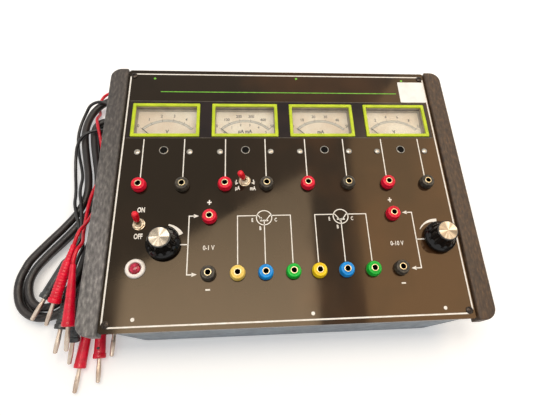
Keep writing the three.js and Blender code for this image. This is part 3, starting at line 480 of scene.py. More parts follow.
def glossPanel(name):
    # brown-black print, browner to the right as a painted warm reflection, with slow clouds in its
    # tone, handling haze and a faint waviness; its warm specular tint stands in for warm room light
    material, tree, shader, where = newFinish(name, tone(44, 32, 24), 0.1, gloss=0.34)
    # painted warm reflection: the base colour grows browner towards +X
    fade = rangeOf(tree, axisOf(tree, where, "X"), -0.12, 0.2, -0.12, 0.15)
    cloud = newNode(tree, "Math", {0: noiseOf(tree, where, 85, 3), 1: fade}).outputs[0]
    setInputs(tree, shader, {
        # a warm specular tint that stands in for warm room light in the reflections
        "Specular Tint": (1.0, 0.76, 0.52, 1.0),
        "Base Color": rampOf(tree, cloud, [
            (0.36, tone(20, 15, 11)), (0.54, tone(32, 23, 17)), (0.76, tone(60, 39, 23))]),
        "Roughness": rangeOf(tree, noiseOf(tree, where, 16, 6, (1.0, 0.4, 1.0)), 0.05, 0.12)})
    bumpOf(tree, shader, noiseOf(tree, where, 14, 2), 0.006)
    return material


def clearStrip(name):
    # clear plastic with a thin film of dust
    material, tree, shader, where = newFinish(name, tone(235, 240, 238), 0.05, gloss=0.6)
    film = noiseOf(tree, where, 18, 4)
    setInputs(tree, shader, {
        "Base Color": rampOf(tree, film, [(0.3, tone(225, 228, 224)), (0.7, tone(245, 248, 246))]),
        "Roughness": rangeOf(tree, film, 0.03, 0.09), "Alpha": 0.1})
    material.blend_method = "BLEND"
    return material


def rubyLens(name):
    # crimson with darker and brighter streaks
    material, tree, shader, where = newFinish(name, tone(178, 22, 56), 0.12, gloss=0.4, coat=0.15)
    streak = noiseOf(tree, where, 2.2, 4)
    setInputs(tree, shader, {
        "Base Color": rampOf(tree, streak, [
            (0.36, tone(138, 6, 36)), (0.52, tone(188, 14, 56)), (0.7, tone(220, 58, 96))]),
        "Roughness": rangeOf(tree, streak, 0.08, 0.2)})
    return material


def spunMetal(name):
    # fine rings, and broad fans of painted highlight, in the piece's own map, whose u runs round and v
    # outwards
    material, tree, shader, _ = newFinish(name, tone(214, 206, 194), 0.3, metal=1.0)
    ownMap = newNode(tree, "UVMap", {}, uv_map="round").outputs["UV"]
    rings, fans = [
        newNode(tree, "TexNoise", {"W": axisOf(tree, ownMap, axis), "Scale": scale},
                noise_dimensions="1D").outputs["Fac"] for axis, scale in (("Y", 90), ("X", 7))]
    tangent = newNode(tree, "Tangent", {}, direction_type="UV_MAP", uv_map="round")
    setInputs(tree, shader, {
        # painted conic highlights: lighter and darker fans of base colour round the cap
        "Base Color": rampOf(tree, fans, [
            (0.36, tone(104, 97, 88)), (0.5, tone(146, 136, 122)), (0.66, tone(206, 198, 186))]),
        "Roughness": rangeOf(tree, rings, 0.22, 0.36),
        "Anisotropic": 0.7, "Tangent": tangent.outputs["Tangent"]})
    bumpOf(tree, shader, rings, 0.006)
    return material


for name, make in (("caseGrain", leatherGrain), ("panelGloss", glossPanel), ("windowClear", clearStrip),
                   ("lampRuby", rubyLens), ("spunCap", spunMetal)):
    made[name] = make(name)
print("finishes made")


# Case: side rails, tub, webs and feet
casePlan = {
    "width": 326.4, "length": 248.0, "top": 63.0, "railWidth": 15.9, "railFoot": 48.0,
    "corner": 10.0, "innerCorner": 0.8, "edge": 1.6,
    "rim": (146.0, 122.0, 12.0), "foot": (137.0, 122.0, 15.0), "wall": 3.0,
    "tubFoot": 2.0, "tubTop": 57.0, "tubFloor": 5.0,
    # between the tub and the rails
    "webX": (145.4, 147.9), "webY": 120, "webZ": (48.2, 56.9),
    "footPlaces": (113.0, 98.0), "pad": [[0, 0], [8.0, 0], [8.6, 2.4], [0, 2.4]], "padEdge": 0.6,
}


def railShape(plan, side):
    # the rail's outline drawn in along a quarter circle at its lower and upper edges
    half, reach = plan["width"] / 2, plan["length"] / 2
    inner = half - plan["railWidth"]
    turn = np.linspace(0, np.pi / 2, 6)
    inset = plan["edge"] * (1 - np.sin(turn))
    lift = plan["edge"] * (1 - np.cos(turn))
    rows = [(d, plan["railFoot"] + h) for d, h in zip(inset, lift)]
    rows += [(d, plan["top"] - h) for d, h in zip(inset[::-1], lift[::-1])]
    loops = []
    for d, z in rows:
        outer, small = plan["corner"] - d, max(plan["innerCorner"] - d / 2, 0.2)
        radii = (outer, outer, small, small) if side > 0 else (small, small, outer, outer)
        x0, x1 = (inner + d, half - d) if side > 0 else (-half + d, -inner - d)
        loops.append((cornerLoop(x0, x1, -reach + d, reach - d, radii), z))
    return stacked(loops)


def tubShape(plan):
    rimX, rimY, rimR = plan["rim"]
    footX, footY, footR = plan["foot"]
    wall, edge, low = plan["wall"], plan["edge"], plan["tubFoot"]
    return stacked([
        (roundedLoop(footX - edge, footY - edge, footR - edge), low),
        (roundedLoop(footX - edge * 0.3, footY - edge * 0.3, footR), low + edge * 0.3),
        (roundedLoop(footX, footY, footR), low + edge),
        (roundedLoop(rimX, rimY, rimR), plan["tubTop"]),
        (roundedLoop(rimX - wall, rimY - wall, rimR - wall), plan["tubTop"]),
        (roundedLoop(footX - wall, footY - wall, footR - wall), plan["tubFloor"]),
    ])


def makeCase(plan):
    footX, footY = plan["footPlaces"]
    pad = turned(eased(plan["pad"], plan["padEdge"]))
    feet = [moved(pad, (sx * footX, sy * footY, 0)) for sx in (-1, 1) for sy in (-1, 1)]
    (near, far), y, (low, high) = plan["webX"], plan["webY"], plan["webZ"]
    webs = [boxShape((x0, -y, low), (x1, y, high)) for x0, x1 in ((near, far), (-far, -near))]
    piece = addPiece("caseShell", [
        (railShape(plan, 1), "caseGrain"), (railShape(plan, -1), "caseGrain"),
        (tubShape(plan), "caseWall"), (joinShapes(*webs), "caseWall"),
        (joinShapes(*feet), "footRubber")])
    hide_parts("case")


makeCase(casePlan)
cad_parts["front_panel"].data.materials[0] = made["panelGloss"]
print("case made")

# Print on the panel
meterX = [-109.103, -36.368, 36.368, 109.103]
transistorX = [-21.3, 44.8]
printPlan = {
    "low": 0.005, "high": 0.06, "border": (145.0, 118.75, 4.2), "borderWidth": 1.2,
    "lineWidth": 0.9, "symbolWidth": 0.8,
    "whiteDots": [(-122.6, -113.4), (14.7, -114), (122.5, -113.8)], "whiteDot": 1.5,
    "greenDots": [(-122.5, 113.6), (14.8, 115.3), (122.9, 114.1)], "greenDot": 1.2,
    "greenRule": [[-116, 98], [115, 98]],
    "meterLines": (45.1, 4.6), "meterLineSpread": 18.0,
    "symbolRadius": 6.5, "symbolY": -33.0, "leadY": -31.0, "leadSpread": 22.5, "leadFoot": -73.2,
    # the base bar lies barDrop under the middle; the outer leads leave it at near and turn at far
    "barDrop": 2.6, "barHalf": 3.4, "near": 1.4, "far": 4.9, "emitterTip": (-1.7, 0.7),
    "leftBracket": (-84.0, -30.4, -80.4, -76.0, -91.4, -55.3),
    "rightBracket": (108.6, -30.4, -80.4, 100.0, 117.9, -55.3), "arrowRoom": 3.6,
    # x and lean of the arrows above the two units, their tips, and the two ends of their tails
    "unitArrows": [(-45.4, 0.9), (-29.0, -0.9)], "unitTipY": -1.6, "unitTailY": (3.2, 0.2),
    # middle, outer radius, from and to degrees, width at the start and at the end
    "crescents": [(-103.5, -54.5, 17.6, 80, 31, 1.2, 3.5), (128.8, -54.5, 17.6, 152, 86, 0.5, 3.2)],
    "words": [
        # size, boldness, squeeze, then each word with its place
        (6.2, 0.03, 0.64, [("ON", -123.8, -24.0), ("OFF", -124.2, -47.3)]),
        (8.5, 0.03, 0.8, [("+", -67.6, -18.1), ("+", 90.8, -18.1), ("−", -67.2, -92.8),
                          ("−", 91.3, -92.6)]),
        (5.4, 0.03, 0.64, [("µA", -43.6, -5.1), ("mA", -30.3, -5.1)]),
        (5.6, 0.012, 0.76, [("0-1 V", -67.2, -58.4), ("0-10 V", 91.1, -58.4)]),
    ] + [
        (4.6, 0.03, 0.64, [("E", x - 10.0, -35.0), ("C", x + 9.8, -35.0), ("B", x - 3.4, -42.4)])
        for x in transistorX
    ],
}
inkLow, inkHigh = panelTop + printPlan["low"], panelTop + printPlan["high"]


def printed(line, width, closed=False, lift=0.0):
    # a stroke lying on the panel
    return strokeShape(np.asarray(line, float) + [0, printShift], width, inkLow, inkHigh + lift, closed)


def printedPatch(outline):
    # a flat patch with any outline
    outline = np.asarray(outline, float) + [0, printShift]
    return stacked([(outline, inkLow), (outline, inkHigh)])


def disc(x, y, radius, steps=24):
    angle = allRound(steps)
    return np.stack([x + radius * np.cos(angle), y + radius * np.sin(angle)], -1)


def crescent(x, y, outer, fromDegrees, toDegrees, slim, widest, steps=24):
    # between a circle and a line that draws in from it in step with the angle
    inner = outer - np.linspace(slim, widest, steps)[:, None]
    ring = arcLine((0, 0), 1, fromDegrees, toDegrees, steps)
    return np.vstack([(x, y) + outer * ring, ((x, y) + inner * ring)[::-1]])


def arrowHead(tip, direction, length=4.2, width=3.4):
    tip, ahead = np.asarray(tip, float), np.asarray(direction, float)
    ahead = ahead / np.linalg.norm(ahead)
    side = np.array([-ahead[1], ahead[0]])
    root = tip - ahead * length
    return np.array([tip, root + side * width / 2, root - side * width / 2])


def writing(text, size, centre, low, high, bold, squeeze):
    # the built-in face made a mesh, centred on a point, squeezed sideways
    curve = bpy.data.curves.new("word", "FONT")
    curve.body, curve.size, curve.extrude, curve.offset = text, 1.0, 0.5, bold
    curve.align_x, curve.align_y = "CENTER", "CENTER"
    curve.resolution_u = 3
    word = bpy.data.objects.new("word", curve)
    scene.collection.objects.link(word)
    bpy.context.view_layer.update()
    mesh = bpy.data.meshes.new_from_object(word.evaluated_get(bpy.context.evaluated_depsgraph_get()))
    bpy.data.objects.remove(word)
    bpy.data.curves.remove(curve)
    work = bmesh.new()
    work.from_mesh(mesh)
    bmesh.ops.remove_doubles(work, verts=work.verts, dist=1e-5)
    work.verts.index_update()
    points = np.array([v.co for v in work.verts])
    faces = [np.array([[v.index for v in face.verts]]) for face in work.faces]
    work.free()
    bpy.data.meshes.remove(mesh)
    middle = (points[:, :2].min(0) + points[:, :2].max(0)) / 2
    points[:, :2] = (points[:, :2] - middle) * [size * squeeze, size] + centre
    points[:, 2] = np.where(points[:, 2] > 0, high, low)
    return points, faces


def transistorSymbol(plan, x, inward):
    # circle, base bar, a lead from each end of the bar, the emitter arrow and the base lead
    w, leadY, foot = plan["symbolWidth"], plan["leadY"], plan["leadFoot"]
    y, half, near, far = plan["symbolY"], plan["barHalf"], plan["near"], plan["far"]
    barY, (tipX, tipY) = y - plan["barDrop"], plan["emitterTip"]
    leads = [printed([[x + side * near, barY], [x + side * far, leadY],
                      [x + side * plan["leadSpread"], leadY], [x + side * plan["leadSpread"], foot]], w)
             for side in (1, -1)]
    return [
        printed(arcLine((x, y), plan["symbolRadius"], 0, 351, 40), w, closed=True),
        printed([[x - half, barY], [x + half, barY]], w * 1.5), *leads,
        printedPatch(arrowHead((x + tipX, barY + tipY), (3, -4) if inward else (-3, 4), 2.4, 2.2)),
        printed([[x, barY], [x, foot]], w),
    ]


def bracket(plan, x, high, low, tip, stub, stubY):
    w, ahead = plan["lineWidth"], 1 if tip > x else -1
    end = tip - ahead * plan["arrowRoom"]
    return [
        printed([[end, high], [x, high], [x, low], [end, low]], w),
        printed([[x, stubY], [stub, stubY]], w),
        printedPatch(arrowHead((tip, high), (ahead, 0))), printedPatch(arrowHead((tip, low), (ahead, 0))),
    ]


def makePanelPrint(plan):
    w = plan["lineWidth"]
    white = [printed(roundedLoop(*plan["border"]), plan["borderWidth"], closed=True)]
    top, foot = plan["meterLines"]
    for middle in meterX:
        for x in (middle - plan["meterLineSpread"], middle + plan["meterLineSpread"]):
            white.append(printed([[x, top], [x, foot]], w))
    for x, inward in zip(transistorX, (True, False)):
        white += transistorSymbol(plan, x, inward)
    white += bracket(plan, *plan["leftBracket"]) + bracket(plan, *plan["rightBracket"])
    white += [printedPatch(disc(x, y, plan["whiteDot"])) for x, y in plan["whiteDots"]]
    white += [printedPatch(crescent(*values)) for values in plan["crescents"]]
    high, low = plan["unitTailY"]
    for x, lean in plan["unitArrows"]:
        white.append(printedPatch(arrowHead((x, plan["unitTipY"]), (-lean / 2, -1), 2.6, 3.6)))
        white.append(printed([[x + lean, high], [x + lean * 0.2, low]], w))
    letters = [writing(text, size, (x, y + printShift), inkLow, inkHigh, bold, squeeze)
               for size, bold, squeeze, words in plan["words"] for text, x, y in words]
    addPiece("panelPrint", [(joinShapes(*white), "printWhite"),
                            (joinShapes(*letters), "printWhite")], sharp=20)
    green = [printed(plan["greenRule"], w)]
    green += [printedPatch(disc(x, y, plan["greenDot"])) for x, y in plan["greenDots"]]
    addPiece("panelRule", [(joinShapes(*green), "printGreen")], sharp=20)


bandPlan = {
    "halfWidth": 143.2, "y": (46.4, 87.0), "low": 0.004, "high": 0.05, "rimWidth": 0.35, "rimLift": 0.01,
    "cutY": (47.8, 83.5), "cutHalf": 30.4,
}


def makeMeterBand(plan):
    # a thin dark strip behind the meters, cut out round their frames, with pale edges
    half, (low, high), (cutLow, cutHigh) = plan["halfWidth"], plan["y"], plan["cutY"]
    edges = [-half] + [x + side * plan["cutHalf"] for x in meterX for side in (-1, 1)] + [half]
    areas = [(-half, low, half, cutLow), (-half, cutHigh, half, high)]
    areas += [(x0, cutLow, x1, cutHigh) for x0, x1 in zip(edges[::2], edges[1::2])]
    z0, z1 = panelTop + plan["low"], panelTop + plan["high"]
    boxes = [boxShape((x0, y0 + printShift, z0), (x1, y1 + printShift, z1)) for x0, y0, x1, y1 in areas]
    rims = [printed([[-half, y], [half, y]], plan["rimWidth"], lift=plan["rimLift"]) for y in plan["y"]]
    addPiece("meterBand", [(joinShapes(*boxes), "bandGloss"), (joinShapes(*rims), "bandEdge")],
             sharp=20)


labelPlan = {"half": (13, 12.4), "corner": 0.8, "middle": (131.3, 100.7), "low": 0.01, "high": 0.16}


def makeLabel(plan):
    outline = roundedLoop(*plan["half"], plan["corner"], 4, plan["middle"])
    label = stacked([(outline, panelTop + plan["low"]), (outline, panelTop + plan["high"])])
    addPiece("bareLabel", [(label, "labelWhite")], sharp=20)


makePanelPrint(printPlan)
makeMeterBand(bandPlan)
makeLabel(labelPlan)
print("panel printed")

# Meters
meterPlan = {
    "width": 61.5, "length": 36.2, "middle": 66.35, "corner": 0.9, "band": 3.0, "wall": 1.0,
    "height": 1.4, "low": 57.0,
    "cardLow": 52.01, "cardHigh": 52.25, "cardFront": 44.0, "cardBack": 81.3, "cardHalf": 27.4,
    "pivotY": 39.45, "outerArc": 32.6, "innerArc": 30.3, "sweep": 46.0,
    "inkSunk": 0.01, "inkLift": 0.03, "greyUnder": 0.015, "arcWidth": 0.22,
    # how far the ticks stand out and how wide they are: on a number, halfway, between
    "ticks": ((1.5, 0.3), (0.5, 0.12), (0.0, 0.12)),
    # size and radius of the two rows of numbers, size and place of the unit
    "numbers": ((4.4, 37.2), (3.8, 27.3)), "unitSize": 5.0, "unitRise": 19.4,
    "scales": [
        # steps of the numbers, ticks per step, numbers, second row, unit
        (5, 10, "0 1 2 3 4 5", "", "V"),
        (5, 10, "0 100 200 300 400 500", "0 1 2 3 4 5", "µA mA"),
        (5, 10, "0 10 20 30 40 50", "", "mA"),
        (5, 10, "0 2 4 6 8 10", "", "V"),
    ],
    "eyelet": [[3.3, 0.0], [4.05, 0.0], [4.05, 0.3], [3.9, 0.5], [3.6, 0.6], [3.35, 0.45]],
    "well": [[0, 0.0], [3.3, 0.0], [3.3, 0.05], [0, 0.05]], "eyeletY": 33.4,
    "screw": (2.7, 1.5, 0.22, 0.22), "screwSpread": 22.9, "screwY": 31.6,
}


def carriedRound(plan, x, section):
    # a section of (inset, height) points carried round the frame
    halfX, halfY, corner = plan["width"] / 2, plan["length"] / 2, plan["corner"]
    loops = [(roundedLoop(halfX - d, halfY - d, max(corner - d * 0.25, 0.25), 4, (x, plan["middle"])), z)
             for d, z in section]
    return stacked(loops, capped=False)


def bezelShape(plan, x):
    # outer wall, crowned top, inner wall
    top, band, wall = panelTop + plan["height"], plan["band"], plan["wall"]
    return carriedRound(plan, x, [
        (0.0, panelTop + 0.01), (0.0, top - 0.45), (0.25, top - 0.1), (0.7, top), (band - 0.7, top),
        (band - 0.2, top - 0.12), (band, top - 0.5), (band, panelTop - 0.2),
        (band - wall, panelTop - 0.2), (band - wall, panelTop + 0.01)])


def scaleParts(plan, x, scale):
    steps, perStep, numbers, lower, unit = scale
    pivot = np.array([x, plan["pivotY"]])
    z0, z1 = plan["cardHigh"] - plan["inkSunk"], plan["cardHigh"] + plan["inkLift"]
    outer, inner, sweep = plan["outerArc"], plan["innerArc"], plan["sweep"]

    def arc(radius, width, high):
        return strokeShape(arcLine(pivot, radius, 90 - sweep, 90 + sweep, 60), width, z0, high)

    def ray(i, count):
        # from the pivot to mark i of count, which run from left to right
        angle = math.radians(90 + sweep - 2 * sweep * i / count)
        return np.array([math.cos(angle), math.sin(angle)])

    grey = [arc((outer + inner) / 2, outer - inner, z1 - plan["greyUnder"])]
    ink = [arc(radius, plan["arcWidth"], z1) for radius in (outer, inner)]
    count = steps * perStep
    for i in range(count + 1):
        kind = 0 if i % perStep == 0 else 1 if i % (perStep // 2) == 0 else 2
        reach, width = plan["ticks"][kind]
        ahead = ray(i, count)
        ink.append(strokeShape([pivot + ahead * inner, pivot + ahead * (outer + reach)], width, z0, z1))
    for row, (size, radius) in zip((numbers, lower), plan["numbers"]):
        for i, figure in enumerate(row.split()):
            ink.append(writing(figure, size, pivot + radius * ray(i, steps), z0, z1, 0.025, 0.85))
    ink.append(writing(unit, plan["unitSize"], pivot + [0, plan["unitRise"]], z0, z1, 0.05, 0.9))
    return joinShapes(*grey), joinShapes(*ink)


def crossScrew(radius, height, slot, depth, steps=40):
    # height sqrt(1 - 0.82 (r / radius)^2), less depth inside a cross: |x| or |y| below slot,
    # within 0.62 of the radius
    rows = np.linspace(0, 1, 15)[1:]
    angle = allRound(steps)
    r, a = np.meshgrid(rows * radius, angle, indexing="ij")
    x, y = r * np.cos(a), r * np.sin(a)
    dome = height * np.sqrt(np.clip(1 - (r / radius) ** 2 * 0.82, 0, 1))
    cut = (np.minimum(np.abs(x), np.abs(y)) < slot) & (r < 0.62 * radius)
    top = np.stack([x, y, dome - depth * cut], -1)[::-1].reshape(-1, 3)
    skirt = np.column_stack([radius * np.cos(angle), radius * np.sin(angle), np.zeros(steps)])
    points = np.vstack([skirt, top, [[0, 0, height - depth], [0, 0, 0]]])
    under, crown = endFans(len(rows) + 1, steps, len(points) - 1, len(points) - 2)
    return points, [gridFaces(len(rows) + 1, steps), crown, under]


def makeMeters(plan):
    halfCard = (plan["cardBack"] - plan["cardFront"]) / 2
    cardY = (plan["cardBack"] + plan["cardFront"]) / 2
    card = roundedLoop(plan["cardHalf"], halfCard, 0.4, 2)
    band, wall, low, high = plan["band"], plan["wall"], plan["low"] + 0.05, panelTop - 0.25
    ring, well = turnedRing(plan["eyelet"], 40), turned(plan["well"], 40)
    screw = crossScrew(*plan["screw"])
    for i, x in enumerate(meterX, 1):
        # under the lime frame its collar goes on down in the housing's grey
        collar = carriedRound(plan, x, [(band - wall, low), (band, low), (band, high), (band - wall, high)])
        bezel = addPiece(f"meterFrame{i}", [(bezelShape(plan, x), "bezelLime"),
                                            (collar, "housingGrey")], sharp=30)
        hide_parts(f"meter_bezel_{i}")
        sheet = stacked([(card + [x, cardY], plan["cardLow"]), (card + [x, cardY], plan["cardHigh"])])
        grey, ink = scaleParts(plan, x, plan["scales"][i - 1])
        addPiece(f"dialCard{i}", [(sheet, "dialCard"), (grey, "dialGrey"),
                                  (ink, "dialInk")], sharp=20)
        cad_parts[f"meter_body_{i}"].data.materials[0] = made["housingGrey"]
        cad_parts[f"meter_needle_{i}"].data.materials[0] = made["needleBlack"]
        screws = [moved(screw, (x + side * plan["screwSpread"], plan["screwY"] + printShift, panelTop))
                  for side in (-1, 1)]
        addPiece(f"meterScrews{i}", [(joinShapes(*screws), "platedMetal")],
                 sharp=40)
        # the disc inside the eyelet is painted shade over the adjuster hole
        place = (x, plan["eyeletY"] + printShift, panelTop + 0.01)
        addPiece(f"adjusterEyelet{i}", [(ring, "platedMetal"), (well, "paintedHoleShade")],
                 sharp=40, place=place)
    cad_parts["window_strip"].data.materials[0] = made["windowClear"]


cornerScrewPlan = {"screw": (2.9, 1.5, 0.36, 0.5), "place": (142, 116.5)}


def makeCornerScrews(plan):
    screw, (x, y) = crossScrew(*plan["screw"]), plan["place"]
    screws = [moved(screw, (sx * x, sy * y + printShift, panelTop)) for sx in (-1, 1) for sy in (-1, 1)]
    addPiece("cornerScrews", [(joinShapes(*screws), "screwDark")], sharp=40)


makeMeters(meterPlan)
makeCornerScrews(cornerScrewPlan)
print("meters made")

# Sockets
socketPlan = {
    "head": [[0, -13], [4, -13], [4, 0], [6.25, 0], [6.25, 3.0], [5.75, 3.6], [5.7, 5.5], [5.1, 6.1],
             [4.35, 6.1], [4.15, 5.8], [3.85, 5.8], [3.65, 6.1], [2.8, 6.1], [2.75, -11.5], [0, -11.5]],
    "edge": 0.4,
    "ring": [[2.2, 5.2], [2.72, 5.2], [2.72, 6.05], [2.88, 6.1], [2.86, 6.3], [2.6, 6.4], [2.3, 6.35],
             [2.2, 6.2]],
    "bore": [[2.25, -11.3], [2.7, -11.3], [2.7, 5.15], [2.25, 5.15]],
    "meterSpread": 18.1, "meterY": -1.7,
    "supplies": (("low", -67.0), ("high", 91.0)), "plusY": -31.9, "minusY": -80.1,
    "leadSpread": 22.5, "leadY": -80.5,
}


def socketPlaces(plan):
    # CAD node: x, y, finish, slot
    places = {}
    for i, x in enumerate(meterX, 1):
        for colour, aside in (("red", -plan["meterSpread"]), ("black", plan["meterSpread"])):
            places[f"socket_meter_{i}_{colour}"] = (
                x + aside, plan["meterY"], "socket" + colour.title(), "socket_" + colour)
    for name, x in plan["supplies"]:
        places[f"socket_{name}_plus"] = (x, plan["plusY"], "socketRed", "socket_red")
        places[f"socket_{name}_minus"] = (x, plan["minusY"], "socketBlack", "socket_black")
    for name, x, pale in (("pnp", transistorX[0], "socketPale"), ("npn", transistorX[1], "socketYellow")):
        for lead, aside, finish, slot in (("emitter", -plan["leadSpread"], pale, "socket_yellow"),
                                          ("base", 0, "socketBlue", "socket_blue"),
                                          ("collector", plan["leadSpread"], "socketGreen", "socket_green")):
            places[f"socket_{name}_{lead}"] = (x + aside, plan["leadY"], finish, slot)
    return places


def makeSockets(plan):
    head = turned(eased(plan["head"], plan["edge"], 3), 40)
    ring, bore = turnedRing(plan["ring"], 40), turnedRing(plan["bore"], 40)
    for node, (x, y, finish, slot) in socketPlaces(plan).items():
        place = (x, y + printShift, panelTop)
        words = node.split("_")
        name = words[0] + "".join(word.title() for word in words[1:])
        # the bore is painted shade: the inside of the socket's hole is near-black
        piece = addPiece(name, [(head, finish), (ring, "ringMetal"), (bore, "paintedHoleShade")],
                         place=place)
        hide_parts(node)


makeSockets(socketPlan)
print("sockets made")

# Knobs
knobPlan = {
    "places": {"left": (-103.488, "dial_left"), "right": (128.8, "dial_right")},
    "y": -54.5, "lift": 1.0,
    "profile": [[0, 0.3], [13.2, 0.3], [13.8, 1.0], [13.8, 3.1], [13.3, 4.2], [12.0, 6.0], [11.1, 8.0],
                [8.9, 17.3], [8.5, 17.6], [0, 17.6]],
    # the flutes fade in over footFade above the skirt and out over topFade below the top
    "flutes": 12, "fluteDepth": 0.085, "fluteFoot": 6.2, "footFade": 1.6, "fluteTop": 17.6, "topFade": 1.2,
    "shaft": [[0, -12], [3.0, -12], [3.0, 0.4], [0, 0.4]],
    "capRadius": 7.95, "capFoot": 17.4, "capTop": 18.3, "capEdge": 0.35,
}


def makeKnobs(plan):
    def flute(angle, height):
        # hollows between ridges: |cos|^3 of half the flute angle
        fade = np.clip((height - plan["fluteFoot"]) / plan["footFade"], 0, 1)
        fade = fade * np.clip((plan["fluteTop"] - height) / plan["topFade"], 0, 1)
        return -plan["fluteDepth"] * np.abs(np.cos(angle * plan["flutes"] / 2)) ** 3 * fade

    knobShape = joinShapes(turned(eased(plan["profile"], 0.5, 4), 144, flute), turned(plan["shaft"], 32))
    r, foot, top, edge = plan["capRadius"], plan["capFoot"], plan["capTop"], plan["capEdge"]
    rows = [[0, foot], [r, foot], [r, top - edge], [r - edge, top]]
    cap = turned(rows + [[r * share, top] for share in (0.85, 0.6, 0.3, 0)], 96)
    for side, (x, rider) in plan["places"].items():
        place = (x, plan["y"] + printShift, panelTop + plan["lift"])
        knob = addPiece("knob" + side.title(), [(knobShape, "knobBlack")],
                        body=rider, sharp=50, place=place)
        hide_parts("knob_" + side)
        metal = addPiece("knobCap" + side.title(), [(cap, "spunCap")],
                         body=rider, sharp=30, place=place)
        mapRound(metal, place)
        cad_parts["pot_" + side].data.materials[0] = made["platedMetal"]


def mapRound(piece, place):
    # u = angle / 2 pi, unwrapped inside each face; v = distance from the middle over 10 mm
    mesh = piece.data
    layer = mesh.uv_layers.new(name="round")
    corner = np.zeros(len(mesh.loops), np.int32)
    mesh.loops.foreach_get("vertex_index", corner)
    points = np.zeros(len(mesh.vertices) * 3)
    mesh.vertices.foreach_get("co", points)
    points = points.reshape(-1, 3)[corner] / mm - np.asarray(place)
    angle = np.arctan2(points[:, 1], points[:, 0]) / (2 * np.pi)
    reach = np.hypot(points[:, 0], points[:, 1]) / 10
    start = np.zeros(len(mesh.polygons), np.int32)
    mesh.polygons.foreach_get("loop_start", start)
    end = np.append(start[1:], len(corner))
    away = reach > 1e-4
    greatest = np.array([angle[s:e][away[s:e]].max() for s, e in zip(start, end)])
    first = np.repeat(greatest, end - start)
    angle = np.where(first - angle > 0.5, angle + 1, angle)
    angle = np.where(away, angle, first)
    layer.data.foreach_set("uv", np.stack([angle, reach], -1).ravel())


makeKnobs(knobPlan)
print("knobs made")

# Toggle switches
togglePlan = {
    "pivot": 2.2, "nut": 4.95, "nutTurn": 0.17, "nutHeight": 2.2,
    "bush": 3.1, "bushFoot": -3.2, "bushHeight": 5.0, "threads": 13, "threadDepth": 0.22,
    "washer": [[0, 0.02], [5.1, 0.02], [5.1, 0.55], [0, 0.55]],
    "ball": [[0, -1.7], [1.4, -1.3], [1.9, 0], [1.5, 1.2], [1.15, 1.9], [1.15, 4.6], [0, 4.6]],
    "sleeve": [[0, 4.2], [1.9, 4.2], [2.3, 4.8], [2.7, 8.5], [2.75, 12.9], [2.0, 14.8], [0, 15.2]],
    "canDepths": (13, 3.05), "canEdge": 0.4,
    "switches": {
        # axis and angle of the lever's lean, place, half sizes of the can, body of the lever
        "mains": ("X", -15.0, (-124.509, -37.0), (4.0, 6.5), "mains_switch"),
        "range": ("Y", -15.0, (-37.397, 2.0), (6.5, 4.0), "range_switch"),
    },
}


def nutShape(plan):
    # hexagon radius = flat / cos(angle from the middle of its side), a circle at the top
    angle = allRound(48)
    flat, high = plan["nut"] * math.cos(math.pi / 6), plan["nutHeight"]
    hexagon = flat / np.cos(np.mod(angle + plan["nutTurn"], np.pi / 3) - np.pi / 6)
    circle = np.full_like(hexagon, flat)
    heading = np.stack([np.cos(angle), np.sin(angle)], -1)
    return stacked([(heading * radius[:, None], z) for radius, z in (
        (hexagon * 0.97, 0.5), (hexagon, 0.7), (hexagon, high - 0.7),
        (np.minimum(hexagon, flat * 1.06), high - 0.4),
        (circle * 0.96, high), (circle * 0.9, high + 0.03))])


def bushShape(plan):
    # a threaded tube, open above the lever's pivot
    radius, high, pivot, count = plan["bush"], plan["bushHeight"], plan["pivot"], plan["threads"]
    height = np.linspace(plan["nutHeight"] - 0.2, high - 0.5, count)
    wave = np.where(np.arange(count) % 2 == 0, 0.0, -plan["threadDepth"])
    foot = [[0, plan["bushFoot"]], [radius, plan["bushFoot"]]]
    rim = [[radius - 0.35, high], [2.5, high], [2.35, pivot + 0.4], [0, pivot + 0.1]]
    return turned(foot + np.stack([radius + wave, height], -1).tolist() + rim, 36)


def makeToggles(plan):
    metal = joinShapes(nutShape(plan), bushShape(plan), turned(eased(plan["washer"], 0.15, 3), 48))
    ball, sleeve = turned(eased(plan["ball"], 0.4), 28), turned(eased(plan["sleeve"], 0.9), 32)
    deep, shallow = plan["canDepths"]
    for name, (axis, degrees, (x, y), (halfX, halfY), rider) in plan["switches"].items():
        y = y + printShift
        can = boxShape((-halfX, -halfY, -deep), (halfX, halfY, -shallow), plan["canEdge"])
        base = addPiece("toggleBush" + name.title(), [(metal, "nutMetal"), (can, "fittingBlack")],
                        sharp=35, place=(x, y, panelTop))
        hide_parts(f"toggle_{name}_body")
        lever = addPiece("toggleLever" + name.title(), [(ball, "platedMetal"), (sleeve, "leverRed")],
                         body=rider, sharp=45,
                         place=(x, y, panelTop + plan["pivot"]), turn=turnAbout(axis, degrees))
        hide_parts(f"toggle_{name}_lever")


makeToggles(togglePlan)

# Lamp
lampPlan = {
    "place": (-124.009, -74.3),
    "ring": [[0, -12], [6, -12], [6, 0.0], [7.9, 0.0], [8.0, 0.6], [7.4, 2.0], [6.2, 2.6], [5.2, 2.45],
             [4.65, 1.6], [4.65, -4.9], [0, -4.9]], "ringEdge": 0.45,
    "lens": [[0, -4.7], [4.35, -4.7], [4.35, 1.3], [3.8, 2.6], [2.0, 3.35], [0, 3.55]], "lensEdge": 0.35,
    "facetTop": 3.3, "facetFade": 1.2, "facetDepth": 1.2,
}


